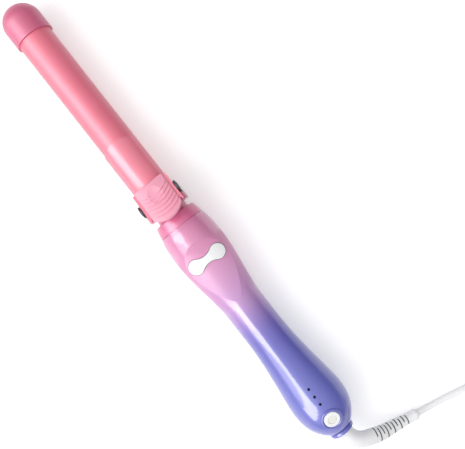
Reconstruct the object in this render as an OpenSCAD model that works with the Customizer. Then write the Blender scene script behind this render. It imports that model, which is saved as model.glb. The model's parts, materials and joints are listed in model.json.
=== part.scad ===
// Rotating curling iron, lying on its handle with the tip towards +X and the buttons up.
// The barrel turns about the long axis, the clamp swings on its pin, both buttons press,
// and the cord swivels at the tail. Millimetres.

/* [End cap and barrel] */
// Length of the end cap from its tip to the seam
cap_l = 27; // [24:0.1:34]
// Radius of the end cap
cap_r = 14.1; // [13.8:0.05:15.6]
// Length of the rounded front of the end cap
cap_dome_l = 13; // [10:0.5:15]
// Length of the end cap's socket over the barrel
cap_socket_l = 4; // [3:0.5:8]
// Length of barrel and hub between the end cap and the collar
barrel_l = 156.5; // [140:0.1:190]
// Radius of the barrel
barrel_r = 12.7; // [12:0.05:13.6]
// Wall of the barrel tube
barrel_wall = 1.2; // [0.8:0.1:1.8]
// Thickness of the heater plate
heater_t = 3; // [2:0.1:4]
// Width of the heater plate
heater_w = 17; // [12:0.5:19]
// Length of the heater plate
heater_l = 80; // [50:1:90]

/* [Clamp] */
// Distance from the collar's front to the hinge pin
pivot_at = 14.2; // [13:0.1:18]
// Length of the clamp plate from the hinge pin to its tongue
plate_l = 49.5; // [40:0.5:70]
// Sheet thickness of the clamp plate
plate_t = 1.3; // [1:0.1:1.6]
// Half angle of the barrel that the clamp plate covers
plate_angle = 64; // [50:1:68]
// Gap between the clamp plate and the barrel
plate_gap = 0.3; // [0.3:0.05:0.6]
// Radius of the hinge pin
pin_r = 1.2; // [1:0.05:1.4]
// Wire of the clamp spring
spring_wire = 0.7; // [0.5:0.05:0.8]
// Slope of the lever, in degrees
lever_slope = 14.6; // [12:0.2:17]
// Length of the lever pad in front of the hinge pin
pad_front = 12.1; // [11:0.1:15]
// Length of the lever pad behind the hinge pin
pad_back = 17.2; // [16:0.1:19]
// Thickness of the lever pad at its crown
pad_t = 2.7; // [2.2:0.1:3.4]
// Radius of the pad's rounded end
pad_end_r = 14; // [13.5:0.1:17]
// Distance between the pad's grip grooves
groove_pitch = 3; // [2.4:0.1:3.4]
// Width of a grip groove
groove_w = 1.1; // [0.7:0.1:1.6]
// Depth of a grip groove
groove_depth = 0.7; // [0.3:0.05:0.9]
// Length of the steel saddle and its ears
saddle_l = 8.6; // [8:0.1:11]
// Thickness of an ear
ear_t = 1.4; // [1.2:0.1:2.2]
// Length of the hub's side lugs
lug_l = 5; // [4:0.1:6]

/* [Handle] */
// Length of the nose collar
collar_l = 8.6; // [6:0.1:10]
// Radius of the collar's front edge
collar_r = 15.8; // [15:0.1:16.6]
// Radius of the handle where it meets the collar
nose_r = 17.4; // [16.8:0.1:18.4]
// Distance from the collar seam to the front bulge
bulge_at = 20.7; // [18:0.1:24]
// Radius of the front bulge
bulge_r = 19.5; // [18.8:0.1:20.5]
// Length from the front bulge to the waist
shoulder_l = 50; // [47:0.5:60]
// Length of the waist
waist_l = 20; // [14:0.5:34]
// Radius of the waist
waist_r = 14.6; // [14.2:0.1:15.6]
// Length from the waist to the widest point of the grip
flank_l = 61.3; // [56:0.1:74]
// Radius of the grip at its widest point
belly_r = 20.05; // [19.6:0.05:21]
// Length from the widest point to the end of the shells
rump_l = 24.8; // [23:0.1:28]
// Radius of the shells where they end
tail_r = 10.2; // [9.4:0.1:10.8]
// Wall of the handle shells
wall = 2; // [1.6:0.1:2.4]
// Depth of the resting flat under the grip
rest_cut = 0.95; // [0.7:0.05:1.2]

/* [Controls] */
// Height of the control face's lowest line above the axis
face_top = 14.5; // [14.3:0.1:15]
// Radius of the control face along the handle
face_long_r = 75; // [65:1:90]
// Radius of the control face across the handle
face_cross_r = 30; // [28:0.5:34]
// Distance from the collar seam to the lowest line of the control face
face_at = 41.4; // [39:0.1:43]
// Distance from the collar seam to the rocker button
rocker_at = 28.7; // [28:0.1:31]
// Distance between the centres of the rocker's two lobes
lobe_span = 18.1; // [16:0.1:19]
// Radius of a lobe
lobe_r = 5.4; // [5.2:0.1:6.2]
// Width of the rocker's waist
rocker_waist = 5.3; // [5:0.1:7]
// How far the rocker stands above the control face
rocker_rise = 1; // [0.6:0.1:1.4]
// Gap round the rocker and the power button
button_gap = 0.35; // [0.25:0.05:0.5]
// Distance from the end of the shells to the power button
power_at = 12.5; // [12:0.1:13.4]
// Height of the power button's face above the axis
power_top = 18.5; // [18:0.1:19]
// Backward tilt of the power button, in degrees
power_tilt = 18; // [14:0.5:20]
// Radius of the power button
power_r = 5.65; // [5:0.05:6]
// Wall of the ring round the power button
bezel_wall = 1.65; // [1.2:0.05:2]
// Radius of an indicator lens
led_r = 0.9; // [0.7:0.05:1.2]
// Distance between two indicator lenses
led_pitch = 6.1; // [5:0.1:7]
// Distance from the middle indicator lens back to the widest point of the grip
led_lead = 7.2; // [6:0.1:9]

/* [Drive] */
// Radius of the hollow spindle
spindle_r = 4.5; // [4.2:0.1:4.8]
// Radius of the spindle's bore for the wires
spindle_bore = 2.8; // [2.2:0.1:3]
// Radius of the motor
motor_r = 9.8; // [9:0.1:10]
// Length of the motor
motor_l = 28; // [22:0.5:29]
// Radius of the gearbox
gearbox_r = 9.3; // [8.5:0.1:9.6]
// Length of the gearbox
gearbox_l = 16; // [14:0.5:20]

/* [Tail and cord] */
// Length of the tail ring behind the shells
ring_l = 4; // [3.6:0.1:6]
// Radius of the tail ring
ring_r = 9.1; // [8.8:0.1:9.6]
// Length of the groove in front of the tail ring
groove_l = 1; // [0.6:0.1:1.4]
// Radius of the swivel stem
stem_r = 5.1; // [4.6:0.1:5.4]
// Diameter of the cord
cord_d = 4.6; // [4.4:0.1:5]
// Distance between two turns, and between two layers, of the coil
coil_pitch = 5.5; // [5.5:0.1:6.2]
// Smallest radius of the coil's turns
coil_min_r = 20; // [20:0.5:24]
// Number of turns in each of the coil's four layers
coil_turns = 3.15; // [2.5:0.05:3.5]
// Length, width and height of the plug's body
plug_size = [30, 24, 13];

/* [Hidden] */

$fn = 96;
// Clearance of shafts and pins in their bores, and of parts pressed together
fit = 0.05;
// Clearance of parts that slide into the handle
seat = 0.15;
// How far a cut reaches past the surface that it opens
over = 1;

// Stations along the handle, each a distance behind the collar seam
waist_at = bulge_at + shoulder_l;
waist_end = waist_at + waist_l;
belly_at = waist_end + flank_l;
handle_l = belly_at + rump_l;

// Stations along X. The middle of the iron is at X = 0, and its axis is at height axis_z.
overall_l = cap_l + barrel_l + collar_l + handle_l + ring_l;
tip_x = overall_l / 2;
cap_x = tip_x - cap_l;
collar_x = cap_x - barrel_l;
seam_x = collar_x - collar_l;
rear_x = seam_x - handle_l;
end_x = -tip_x;
pivot_x = collar_x + pivot_at;
axis_z = belly_r - rest_cut;

// Barrel
tube_in = barrel_r - barrel_wall;
tube_front = cap_x + cap_socket_l;
tube_rear = pivot_x - saddle_l / 2;
insulator_t = 3;
insulator_plug_l = 5;
hub_plug_l = 14;
hub_r = barrel_r - 0.7;
hub_tail_l = 5;
hub_rear = collar_x - hub_tail_l;
spreader_front = tube_front - insulator_plug_l - 0.2;
spreader_l = heater_l + 16;
spreader_rear = spreader_front - spreader_l;
spreader_r = tube_in - fit;
channel_w = 7;
channel_z = 5;
sensor_r = 1.1;
fuse_r = 1.8;

// Clamp
coil_in = pin_r + 0.15;
coil_mid = coil_in + spring_wire / 2;
coil_out = coil_in + spring_wire;
pin_z = barrel_r + 0.25 + coil_out;
plate_in = barrel_r + plate_gap;
plate_out = plate_in + plate_t;
cheek_t = 1.1;
cheek_out = barrel_r + 1;
cheek_in = cheek_out - cheek_t;
ear_in = cheek_out + 0.4;
ear_out = ear_in + ear_t;
pin_head = 0.35;
pin_head_r = pin_r + 1;
bridge_z = coil_out + 0.3;
bridge_top = bridge_z + cheek_t;
pad_half = cheek_out - 2;
pad_crown_r = 45;
pad_edge = 0.45;
groove_count = 6;
groove_r = 18;
first_groove = 1.8;
dish_reach = 7;
lever_screw_at = [-8, 5];
spring_turns = 6;
spring_leg = 5.8;
lug_half = ear_out + 0.3;
lug_low = -5;
lug_high = 8.5;
saddle_top = 5.5;
saddle_out = barrel_r + 1.5;
saddle_web = 4;
rivet_r = 1.1;

// Drive, as distances behind the collar seam
front_bulkhead_at = 6;
bulkhead_t = 3;
bearing_r = spindle_r + 3;
core_at = 12;
core_l = 15;
core_r = spindle_r + 0.9;
contact_ring_r = core_r + 0.5;
contact_ring_l = 2.6;
contact_ring_pitch = 5;
cam_at = core_at + core_l + 2;
cam_l = 3;
cam_r = spindle_r + 1.9;
rear_bulkhead_at = 37;
coupling_at = 43;
coupling_l = 7.4;
coupling_r = 6.5;
shaft_r = 2.5;
shaft_l = 12;
gearbox_at = 54;
motor_at = gearbox_at + gearbox_l;
sleeve_l = 10;
sleeve_at = motor_at + motor_l / 2 - sleeve_l / 2;

// Control face, rocker and its board
face_ramp_l = 30;
face_ramp_rise = 0.5;
pivot_low = 9.6;
rocker_pin_r = 0.8;
rocker_floor = 10.2;
board_t = 1;
board_low = 6.7;
switch_size = [6, 6, 1.4];
direction_board_l = 11;
switch_half_span = lobe_span / 2;

// Main board
main_at = belly_at - 44;
main_l = 54;
main_half = 10.8;
main_t = 1.6;
main_low = 3.6;
post_r = 2.4;
post_y = 7.5;
screw_r = 1.1;
screw_head_r = 2.1;
case_screws_at = [[16, 13.2], [belly_at - 12, 14.1]];
case_screw_top = 6;
case_boss_r = 3;
case_head_z = -8.5;
led_at = belly_at - led_lead;

// Parts on the main board, with their distances behind its front edge
relay_size = [15, 10, 10];
relay_at = 9;
triac_size = [4, 8, 4];
triac_at = 11;
capacitor_r = 4;
capacitor_l = 12;
capacitor_at = 22;
capacitor_y = 6.5;
connector_size = [8, 12, 6];
connector_at = 36;

// Tail
rear_wall = 3.2;
neck_r = 7.5;
lip_r = 8;
lip_l = 2;
stem_flange_r = 6.5;
stem_in = 19.5;
stem_core_r = 3;
stem_ring_r = 3.9;
power_x = rear_x + power_at;
guide_l = 6.9;
bezel_r = power_r + button_gap + bezel_wall;
relief_base_r = 7.15;

// Curve of the handle's outline: distance behind the seam, radius and slope at each station
stations = [
    [0, nose_r, 0.32],
    [bulge_at, bulge_r, 0],
    [waist_at, waist_r, 0],
    [waist_end, waist_r, 0],
    [waist_end + flank_l * 0.83, waist_r + (belly_r - waist_r) * 0.84,
        1.45 * (belly_r - waist_r) / flank_l],
    [belly_at, belly_r, 0],
    [handle_l, tail_r, -1.05]
];
span_steps = [6, 14, 1, 14, 4, 12];

function hermite(a, b, t) =
    let (l = b[0] - a[0], t2 = t * t, t3 = t2 * t)
    [a[0] + l * t,
     (2 * t3 - 3 * t2 + 1) * a[1] + (t3 - 2 * t2 + t) * l * a[2]
     + (3 * t2 - 2 * t3) * b[1] + (t3 - t2) * l * b[2]];

handle_curve = concat(
    [for (i = [0 : len(span_steps) - 1]) for (k = [0 : span_steps[i] - 1])
        hermite(stations[i], stations[i + 1], k / span_steps[i])],
    [[handle_l, tail_r]]
);

// Radius of the handle at a distance behind the seam
function handle_r(u) = lookup(u, handle_curve);

// Height of the control face above the axis, on the middle line, at a distance behind the seam
function face_z(u) =
    let (d = face_at - u)
    d < 0 ? face_top - d * face_ramp_rise / face_ramp_l
          : face_top + face_long_r - sqrt(face_long_r * face_long_r - d * d);

// Route of the strain relief and of the visible cord, chosen by eye from the exit outwards:
// X behind the tail ring's face, Y, and height of the middle of the cord
relief_route = [
    [0, 0, 19.1], [-4.4, -0.6, 19.1], [-8.5, -2.3, 18.9], [-12, -5, 18.3], [-14.5, -8.1, 17.4],
    [-17, -12.7, 15.8], [-19.3, -17.6, 14], [-21.3, -23, 12], [-23, -28.7, 10.1],
    [-24.6, -34.5, 8.5], [-26.1, -40.5, 7.1], [-27.4, -46, 6.1]
];
run_route = [
    [-27.4, -46, 6.1], [-28.5, -50.5, 5], [-29.8, -56, 3.9], [-31.2, -62, 3.2],
    [-32.6, -69, 2.9], [-34.2, -77, 2.9], [-35.9, -86, 3.1], [-37.6, -95, 3.3], [-38.8, -104, 3.4],
    [-39.4, -111, 3.4], [-39.6, -118, 3.4]
];
relief_from = 0.3;
relief_sides = 20;
relief_smooth_r = 5.6;
relief_end_r = 3.6;
cuff_r = 4.25;
slots_from = 23.5;
slot_count = 11;
slot_pitch = 2.75;
slot_w = 0.95;
slot_depth = 1.15;

// Coil, tie and plug. The coil's first turn starts where the visible cord ends.
coil_r = coil_min_r + coil_turns * coil_pitch;
run_end = run_route[len(run_route) - 1];
coil_x = end_x + run_end[0] - coil_r;
coil_y = run_end[1];
coil_z = run_end[2];
coil_layers = 4;
coil_steps = 24;
climb = 90;
coil_end = coil_layers * coil_turns * 360 + climb;
tail_bend_r = 21;
tail_bend = 90;
tail_straight = 5;
tie_t = 0.8;
tie_w = 8;
tie_gap = 0.3;
blade_size = [17, 1.5, 6.35];
blade_span = 12.7;
plug_cuff_l = 6;

// Places its children on the iron's axis, at a distance behind the collar seam
module behind_seam(u) {
    translate([seam_x - u, 0, axis_z]) children();
}

// A round bar along X from x, towards the tip
module bar(x, l, r, hole = 0) {
    translate([x, 0, axis_z]) rotate([0, 90, 0])
        if (hole > 0) difference() {
            cylinder(r = r, h = l);
            translate([0, 0, -over]) cylinder(r = hole, h = l + 2 * over);
        }
        else cylinder(r = r, h = l);
}

// Turns an outline of [x, radius] points about the iron's axis
module lathe(outline) {
    translate([0, 0, axis_z]) rotate([0, 90, 0])
        rotate_extrude() polygon([for (p = outline) [p[1], p[0]]]);
}

// A bar along Y through the hinge pin's centre
module cross_bar(r, half) {
    translate([pivot_x, half, axis_z + pin_z]) rotate([90, 0, 0]) cylinder(r = r, h = 2 * half, $fn = 32);
}

// The handle's outer form, or the same form drawn in by an inset
module handle_form(inset = 0, lead = 0) {
    lathe(concat(
        [[seam_x + lead, 0], [seam_x + lead, nose_r - inset]],
        [for (p = handle_curve) [seam_x - p[0], p[1] - inset]],
        [[rear_x, 0]]
    ));
}

// Frame of the control face, on the axis of its curve across the handle
module face_frame() {
    translate([seam_x - face_at, 0, axis_z + face_top - face_cross_r]) rotate([0, 90, 0]) children();
}

// What the control face takes off the handle; an inset moves the face inwards
module face_cut(inset = 0) {
    low = face_cross_r - inset;
    high = face_cross_r + bulge_r;
    face_frame() rotate_extrude() polygon(concat(
        [[high, -face_ramp_l], [low + face_ramp_rise, -face_ramp_l]],
        [for (x = [0 : 2.5 : 35]) [low + face_long_r - sqrt(face_long_r * face_long_r - x * x), x]],
        [[high, 35]]
    ));
}

// The same curve without its rear ramp, for the rocker that stands above the face
module face_ring(rise) {
    face_frame() rotate_extrude() translate([face_cross_r + face_long_r, 0])
        circle(r = face_long_r - rise, $fn = 120);
}

// The room inside the shells, and the same drawn in for the parts that fit there
module handle_room(inset = wall, lead = over) {
    difference() {
        intersection() {
            handle_form(inset, lead);
            translate([rear_x + rear_wall, -belly_r, axis_z - belly_r])
                cube([handle_l - rear_wall + over, 2 * belly_r, 2 * belly_r]);
        }
        face_cut(inset);
    }
}

// The rocker's outline: two round lobes joined by a waist with hollow sides
module rocker_outline(grow = 0) {
    half = rocker_waist / 2;
    span = lobe_span / 2;
    hollow_r = (half * half + span * span - lobe_r * lobe_r) / (2 * (lobe_r - half));
    share = lobe_r / (lobe_r + hollow_r);
    touch = [share * (half + hollow_r), span * (1 - share)];
    for (side = [-1, 1]) translate([0, side * span]) circle(r = lobe_r + grow, $fn = 64);
    difference() {
        polygon([
            [0, span], [touch[0], touch[1]], [touch[0], -touch[1]],
            [0, -span], [-touch[0], -touch[1]], [-touch[0], touch[1]]
        ]);
        for (side = [-1, 1]) translate([side * (half + hollow_r), 0])
            circle(r = hollow_r - grow, $fn = 96);
    }
}

// Frame of the power button: its face is the plane z = 0, tilted back
module power_frame() {
    translate([power_x, 0, axis_z + power_top]) rotate([0, -power_tilt, 0]) children();
}

// Frame of the lever: the hinge pin is along Y through the origin, and X follows the slope
module lever_frame() {
    translate([pivot_x, 0, axis_z + pin_z]) rotate([0, lever_slope, 0]) children();
}

// Sweep of a tube along a route, with a radius for each ring
function unit(v) = v / norm(v);
function ahead(path, i) = unit(path[min(i + 1, len(path) - 1)] - path[max(i - 1, 0)]);
function ring(centre, along, r, sides) =
    let (across = unit(cross(along, [0, 0, 1])), up = cross(across, along))
    [for (k = [0 : sides - 1]) let (a = (k + 0.5) * 360 / sides)
        centre + r * (cos(a) * across + sin(a) * up)];
module sweep(path, rings, sides) {
    count = len(path);
    polyhedron(
        points = [for (one = rings) each one],
        faces = concat(
            [for (k = [1 : sides - 2]) [0, k + 1, k]],
            [for (k = [1 : sides - 2]) [0, k, k + 1] + (count - 1) * sides * [1, 1, 1]],
            [for (i = [0 : count - 2]) for (k = [0 : sides - 1]) for (half = [0, 1])
                let (n = (k + 1) % sides, a = i * sides, b = a + sides)
                half == 0 ? [a + k, a + n, b + n] : [a + k, b + n, b + k]]
        )
    );
}
module tube_along(path, r, sides) {
    sweep(path, [for (i = [0 : len(path) - 1]) ring(path[i], ahead(path, i), r, sides)], sides);
}

// A route through hand-chosen points, smoothed by a Catmull-Rom curve
function smooth_point(p, i, t) =
    let (a = p[max(i - 1, 0)], b = p[i], c = p[i + 1], d = p[min(i + 2, len(p) - 1)])
    0.5 * (2 * b + (c - a) * t + (2 * a - 5 * b + 4 * c - d) * t * t
        + (3 * b - a - 3 * c + d) * t * t * t);
function smooth(p, steps) = concat(
    [for (i = [0 : len(p) - 2]) for (k = [0 : steps - 1]) smooth_point(p, i, k / steps)],
    [p[len(p) - 1]]
);
function running_length(p) = [for (i = 0, s = 0; i < len(p); i = i + 1,
    s = s + (i < len(p) ? norm(p[i] - p[i - 1]) : 0)) s];
function placed(route) = [for (p = route) [end_x + p[0], p[1], p[2]]];

// The coil: a steady spiral that runs in and out, and climbs a layer where it turns back.
// The angle grows from 0 at the start, and the cord runs clockwise seen from above.
function zigzag(a) =
    let (leg = coil_turns * 360, n = floor(a / leg), part = a - n * leg)
    n % 2 == 0 ? part : leg - part;
function spiral_r(a) = coil_r - coil_pitch * zigzag(a) / 360;
function ease(t) = let (c = min(1, max(0, t))) c * c * (3 - 2 * c);
function spiral_z(a) = coil_z + coil_pitch * (
    ease((a - 1 * coil_turns * 360 + climb) / (2 * climb))
    + ease((a - 2 * coil_turns * 360 + climb) / (2 * climb))
    + ease((a - 3 * coil_turns * 360 + climb) / (2 * climb))
    + ease((a - 4 * coil_turns * 360 + climb) / (2 * climb)));
function coil_point(a) =
    [coil_x + spiral_r(a) * cos(a), coil_y - spiral_r(a) * sin(a), spiral_z(a)];
coil_angles = [for (a = [0 : 360 / coil_steps : coil_end]) a];
coil_turned = [for (a = coil_angles) coil_point(a)];

// The end of the coil bends inwards over it, and runs straight into the plug
bend_from = coil_point(coil_end);
bend_heading = coil_end;
bend_centre = [
    bend_from[0] - tail_bend_r * cos(coil_end),
    bend_from[1] + tail_bend_r * sin(coil_end)
];
plug_z = coil_z + (coil_layers - 1) * coil_pitch + cord_d / 2 + tie_gap + tie_t + plug_size[2] / 2;
function bend_point(a) = [
    bend_centre[0] + tail_bend_r * cos(bend_heading + a),
    bend_centre[1] - tail_bend_r * sin(bend_heading + a),
    bend_from[2] + (plug_z - bend_from[2]) * ease(a / tail_bend)
];
plug_heading = -(bend_heading + tail_bend) - 90;
plug_dir = [cos(plug_heading), sin(plug_heading), 0];
bend_end = bend_point(tail_bend);
cord_end = bend_end + tail_straight * plug_dir;
coil_path = concat(
    coil_turned,
    [for (a = [15 : 15 : tail_bend]) bend_point(a)],
    [cord_end]
);

// Least gap of the coil to itself, measured between points more than a third of a turn apart
function least_gap(p) = min([for (i = [0 : len(p) - 1]) for (j = [i + 9 : len(p) - 1])
    norm(p[i] - p[j])]) - cord_d;
echo(coil_least_gap = least_gap(coil_path));
function path_length(p) = let (marks = running_length(p)) marks[len(marks) - 1];
echo(cord_length = relief_l + path_length(smooth(placed(run_route), 2)) + path_length(coil_path));

// End cap and barrel

module tip_cap() color("palevioletred") difference() {
    lathe(concat(
        [[cap_x, 0], [cap_x, cap_r]],
        [for (a = [0 : 5 : 85]) [tip_x - cap_dome_l + cap_dome_l * sin(a), cap_r * cos(a)]],
        [[tip_x, 0]]
    ));
    bar(cap_x - over, cap_socket_l + insulator_t + over, barrel_r + fit);
    bar(cap_x, cap_l - cap_dome_l, barrel_r - 3);
}

module tip_insulator() color("white") difference() {
    union() {
        bar(tube_front, insulator_t - fit, barrel_r);
        bar(tube_front - insulator_plug_l, insulator_plug_l, tube_in - fit);
    }
    for (side = [-1, 1]) translate([0, 0, side * tube_in / 2])
        bar(tube_front - insulator_plug_l - over, insulator_plug_l + insulator_t + 2 * over, screw_r + fit);
}

module tip_screws() color("silver")
    for (side = [-1, 1]) translate([0, 0, side * tube_in / 2]) {
        bar(tube_front - insulator_plug_l - 4, insulator_plug_l + insulator_t + 4, screw_r);
        bar(tube_front + insulator_t, 1.2, screw_head_r);
    }

module barrel_tube() color("lightcoral") difference() {
    bar(tube_rear, tube_front - tube_rear, barrel_r, tube_in);
    rivet_places() cylinder(r = rivet_r + fit, h = barrel_r + over, $fn = 32);
}

// Half of the round heat spreader, on the side given by 1 or -1, with a channel for wires
module heat_spreader(side) {
    difference() {
        bar(spreader_rear, spreader_l, spreader_r);
        translate([spreader_rear - over, -barrel_r,
                axis_z + side * (heater_t / 2 + fit) - (side > 0 ? 2 * barrel_r : 0)])
            cube([spreader_l + 2 * over, 2 * barrel_r, 2 * barrel_r]);
        translate([0, 0, side * tube_in / 2])
            bar(spreader_front - 5, 5 + over, screw_r + fit);
        translate([spreader_rear - over, -channel_w / 2,
                axis_z + (side > 0 ? channel_z : -spreader_r - over)])
            cube([spreader_l - 8 + over, channel_w, spreader_r - channel_z + over]);
    }
}
module heat_spreader_upper() color("lightgray") heat_spreader(1);
module heat_spreader_lower() color("lightgray") heat_spreader(-1);

module heater_plate() color("dimgray")
    translate([spreader_rear + (spreader_l - heater_l) / 2, -heater_w / 2, axis_z - heater_t / 2])
        cube([heater_l, heater_w, heater_t]);

module temperature_sensor() color("goldenrod")
    translate([0, 0, channel_z + sensor_r + fit]) bar(spreader_rear + spreader_l / 2, 10, sensor_r);

module thermal_fuse() color("tan")
    translate([0, 0, -channel_z - fuse_r - fit]) bar(spreader_rear + spreader_l / 2, 12, fuse_r);

module barrel_hub() color("hotpink") difference() {
    union() {
        bar(tube_rear, hub_plug_l, tube_in - fit);
        bar(hub_rear, tube_rear - hub_rear, hub_r);
        translate([tube_rear - fit - lug_l, 0, axis_z]) rotate([90, 0, 90]) linear_extrude(lug_l)
            intersection() {
                translate([-lug_half, lug_low]) square([2 * lug_half, lug_high - lug_low]);
                circle(r = lug_half + 0.9);
            }
    }
    bar(hub_rear - over, tube_rear + hub_plug_l - hub_rear + 2 * over, spindle_bore);
}

// Clamp hinge

// Radial places of the saddle's rivets: two, low on either side of the barrel
module rivet_places() {
    for (side = [-1, 1]) translate([pivot_x, 0, axis_z]) rotate([side * 140, 0, 0])
        translate([0, 0, 0]) children();
}

module clamp_saddle() color("slategray") difference() {
    union() {
        intersection() {
            bar(pivot_x - saddle_l / 2, saddle_l, saddle_out);
            translate([pivot_x - saddle_l, -barrel_r - 3, axis_z - barrel_r - 3])
                cube([2 * saddle_l, 2 * barrel_r + 6, saddle_top + barrel_r + 3]);
        }
        translate([pivot_x - saddle_l / 2, -ear_out, axis_z - saddle_web])
            cube([saddle_l, 2 * ear_out, 2 * saddle_web]);
        for (side = [-1, 1]) {
            translate([pivot_x - saddle_l / 2, side > 0 ? ear_in : -ear_out, axis_z - saddle_web])
                cube([saddle_l, ear_t, pin_z + saddle_web]);
            translate([pivot_x, side > 0 ? ear_out : -ear_in, axis_z + pin_z])
                rotate([90, 0, 0]) cylinder(r = saddle_l / 2, h = ear_t, $fn = 64);
        }
    }
    bar(pivot_x - saddle_l, 2 * saddle_l, barrel_r + fit);
    cross_bar(pin_r + fit, ear_out + over);
    rivet_places() cylinder(r = rivet_r + fit, h = saddle_out + over, $fn = 32);
}

module saddle_rivets() color("silver") rivet_places() {
    translate([0, 0, tube_in + fit]) cylinder(r = rivet_r, h = saddle_out - tube_in - fit, $fn = 32);
    translate([0, 0, saddle_out]) cylinder(r1 = rivet_r + 0.8, r2 = rivet_r, h = 0.6, $fn = 32);
}

module hinge_pin() color("silver") {
    cross_bar(pin_r, ear_out + pin_head);
    for (side = [-1, 1])
        translate([pivot_x, side > 0 ? ear_out + pin_head : -ear_out, axis_z + pin_z])
            rotate([90, 0, 0]) cylinder(r = pin_head_r, h = pin_head, $fn = 32);
}

// The spring's coil round the hinge pin, with one leg on the hub and one under the lever
spring_start = -90 + 3;
spring_stop = 90 - lever_slope + 360 * spring_turns;
spring_pitch = spring_wire + 0.45;
function spring_point(a) = [
    coil_mid * cos(a),
    spring_pitch * ((a - spring_start) / (spring_stop - spring_start) - 0.5) * (spring_turns + 0.5),
    coil_mid * sin(a)
];
spring_first = spring_point(spring_start);
spring_last = spring_point(spring_stop);
spring_path = concat(
    [spring_first - spring_leg * [cos(3), 0, sin(3)], spring_first - 3 * [cos(3), 0, sin(3)]],
    [for (i = [0 : spring_turns * 12 + 6]) spring_point(
        spring_start + (spring_stop - spring_start) * i / (spring_turns * 12 + 6))],
    [spring_last + 3 * [-cos(lever_slope), 0, sin(lever_slope)],
     spring_last + spring_leg * [-cos(lever_slope), 0, sin(lever_slope)]]
);
module clamp_spring() color("gray") translate([pivot_x, 0, axis_z + pin_z])
    sweep(spring_path, [for (i = [0 : len(spring_path) - 1])
        let (along = ahead(spring_path, i), across = [0, 1, 0] - along[1] * along,
             side = unit(across), up = cross(side, along))
        [for (k = [0 : 5]) spring_path[i] + spring_wire / 2 * (cos(60 * k) * side + sin(60 * k) * up)]], 6);

module clamp_plate() color("lightpink") difference() {
    union() {
        intersection() {
            difference() {
                bar(pivot_x + 6, plate_l - 6, plate_out);
                bar(pivot_x, plate_l + over, plate_in);
            }
            plate_sector();
            translate([pivot_x + plate_l - 16, 0, 0]) tongue_outline();
        }
        for (side = [-1, 1]) translate([0, side > 0 ? cheek_out : -cheek_in, 0]) cheek();
        intersection() {
            lever_frame() translate([-pad_back + 8, -cheek_out, bridge_z])
                cube([pad_back + 3.5, 2 * cheek_out, cheek_t]);
            translate([pivot_x - 30, -cheek_out, axis_z]) cube([60, 2 * cheek_out, 60]);
        }
    }
    cross_bar(pin_r + fit, cheek_out + over);
    lever_screw_places() translate([0, 0, bridge_z - over])
        cylinder(r = screw_r + fit, h = cheek_t + 2 * over, $fn = 24);
}

// The sector of the barrel that the clamp plate covers, as a wedge along the barrel
module plate_sector() {
    reach = 2 * plate_out;
    translate([pivot_x, 0, axis_z]) rotate([90, 0, 90]) linear_extrude(plate_l)
        polygon([
            [0, 0], [reach * sin(plate_angle), reach * cos(plate_angle)],
            [reach * sin(plate_angle), reach], [-reach * sin(plate_angle), reach],
            [-reach * sin(plate_angle), reach * cos(plate_angle)]
        ]);
}

// The plate's plan: straight sides and a rounded tongue at the front
module tongue_outline() {
    linear_extrude(3 * cap_r + axis_z) union() {
        translate([-plate_l, -plate_out]) square([plate_l, 2 * plate_out]);
        intersection() {
            translate([16 - 24, 0]) circle(r = 24);
            translate([-over, -plate_out]) square([30, 2 * plate_out]);
        }
    }
}

// A cheek of the clamp plate: it rises from the plate's edge to the hinge pin and the lever
module cheek() {
    low = plate_in * cos(plate_angle) - 0.4;
    back = bridge_top / cos(lever_slope) + 9.5 * tan(lever_slope);
    front = bridge_top / cos(lever_slope) - 11 * tan(lever_slope);
    translate([pivot_x, 0, axis_z]) rotate([90, 0, 0]) linear_extrude(cheek_t) union() {
        polygon(concat(
            smooth([
                [11, low + 1.6], [9.5, low], [7, low + 0.3], [3.6, pin_z - 4], [0, pin_z - 3],
                [-4, pin_z - 1.6], [-9.5, pin_z + back - 3.2]
            ], 4),
            [[-9.5, pin_z + back], [11, pin_z + front]]
        ));
        translate([0, pin_z]) circle(r = 3, $fn = 48);
    }
}

module pad_outline() {
    intersection() {
        translate([-pad_back, -pad_half]) square([pad_back + pad_front, 2 * pad_half]);
        union() {
            translate([pad_end_r - pad_back, 0]) circle(r = pad_end_r, $fn = 128);
            translate([pad_end_r - pad_back, -pad_half]) square([pad_front + pad_back, 2 * pad_half]);
        }
    }
}

// The pad's solid up to a crown that is lowered by a depth, with chamfered edges
module pad_block(lower = 0) {
    top = bridge_top + pad_t - lower;
    side_top = top - pad_crown_r + sqrt(pad_crown_r * pad_crown_r - pad_half * pad_half);
    length = pad_back + pad_front;
    intersection() {
        translate([0, 0, bridge_top + 0.02]) linear_extrude(pad_t + over) pad_outline();
        translate([-pad_back - over, 0, top - pad_crown_r]) rotate([0, 90, 0])
            cylinder(r = pad_crown_r, h = length + 2 * over, $fn = 180);
        translate([-pad_back - over, 0, 0]) rotate([90, 0, 90]) linear_extrude(length + 2 * over)
            polygon([
                [-pad_half, 0], [pad_half, 0], [pad_half, side_top - pad_edge],
                [pad_half - 4, side_top + 4 - pad_edge], [4 - pad_half, side_top + 4 - pad_edge],
                [-pad_half, side_top - pad_edge]
            ]);
        translate([pad_end_r - pad_back, 0, 0]) {
            translate([0, 0, top - 2 * pad_edge - pad_end_r])
                cylinder(r1 = 2 * pad_end_r, r2 = 0, h = 2 * pad_end_r, $fn = 128);
            translate([0, -2 * pad_half, 0]) cube([length, 4 * pad_half, 2 * top]);
        }
        translate([0, pad_half + over, 0]) rotate([90, 0, 0]) linear_extrude(2 * (pad_half + over))
            polygon([
                [-pad_back - over, 0], [pad_front, 0], [pad_front, top - 2 * pad_edge],
                [pad_front - 4, top + 4 - 2 * pad_edge], [-pad_back - over, top + 4]
            ]);
    }
}

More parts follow.
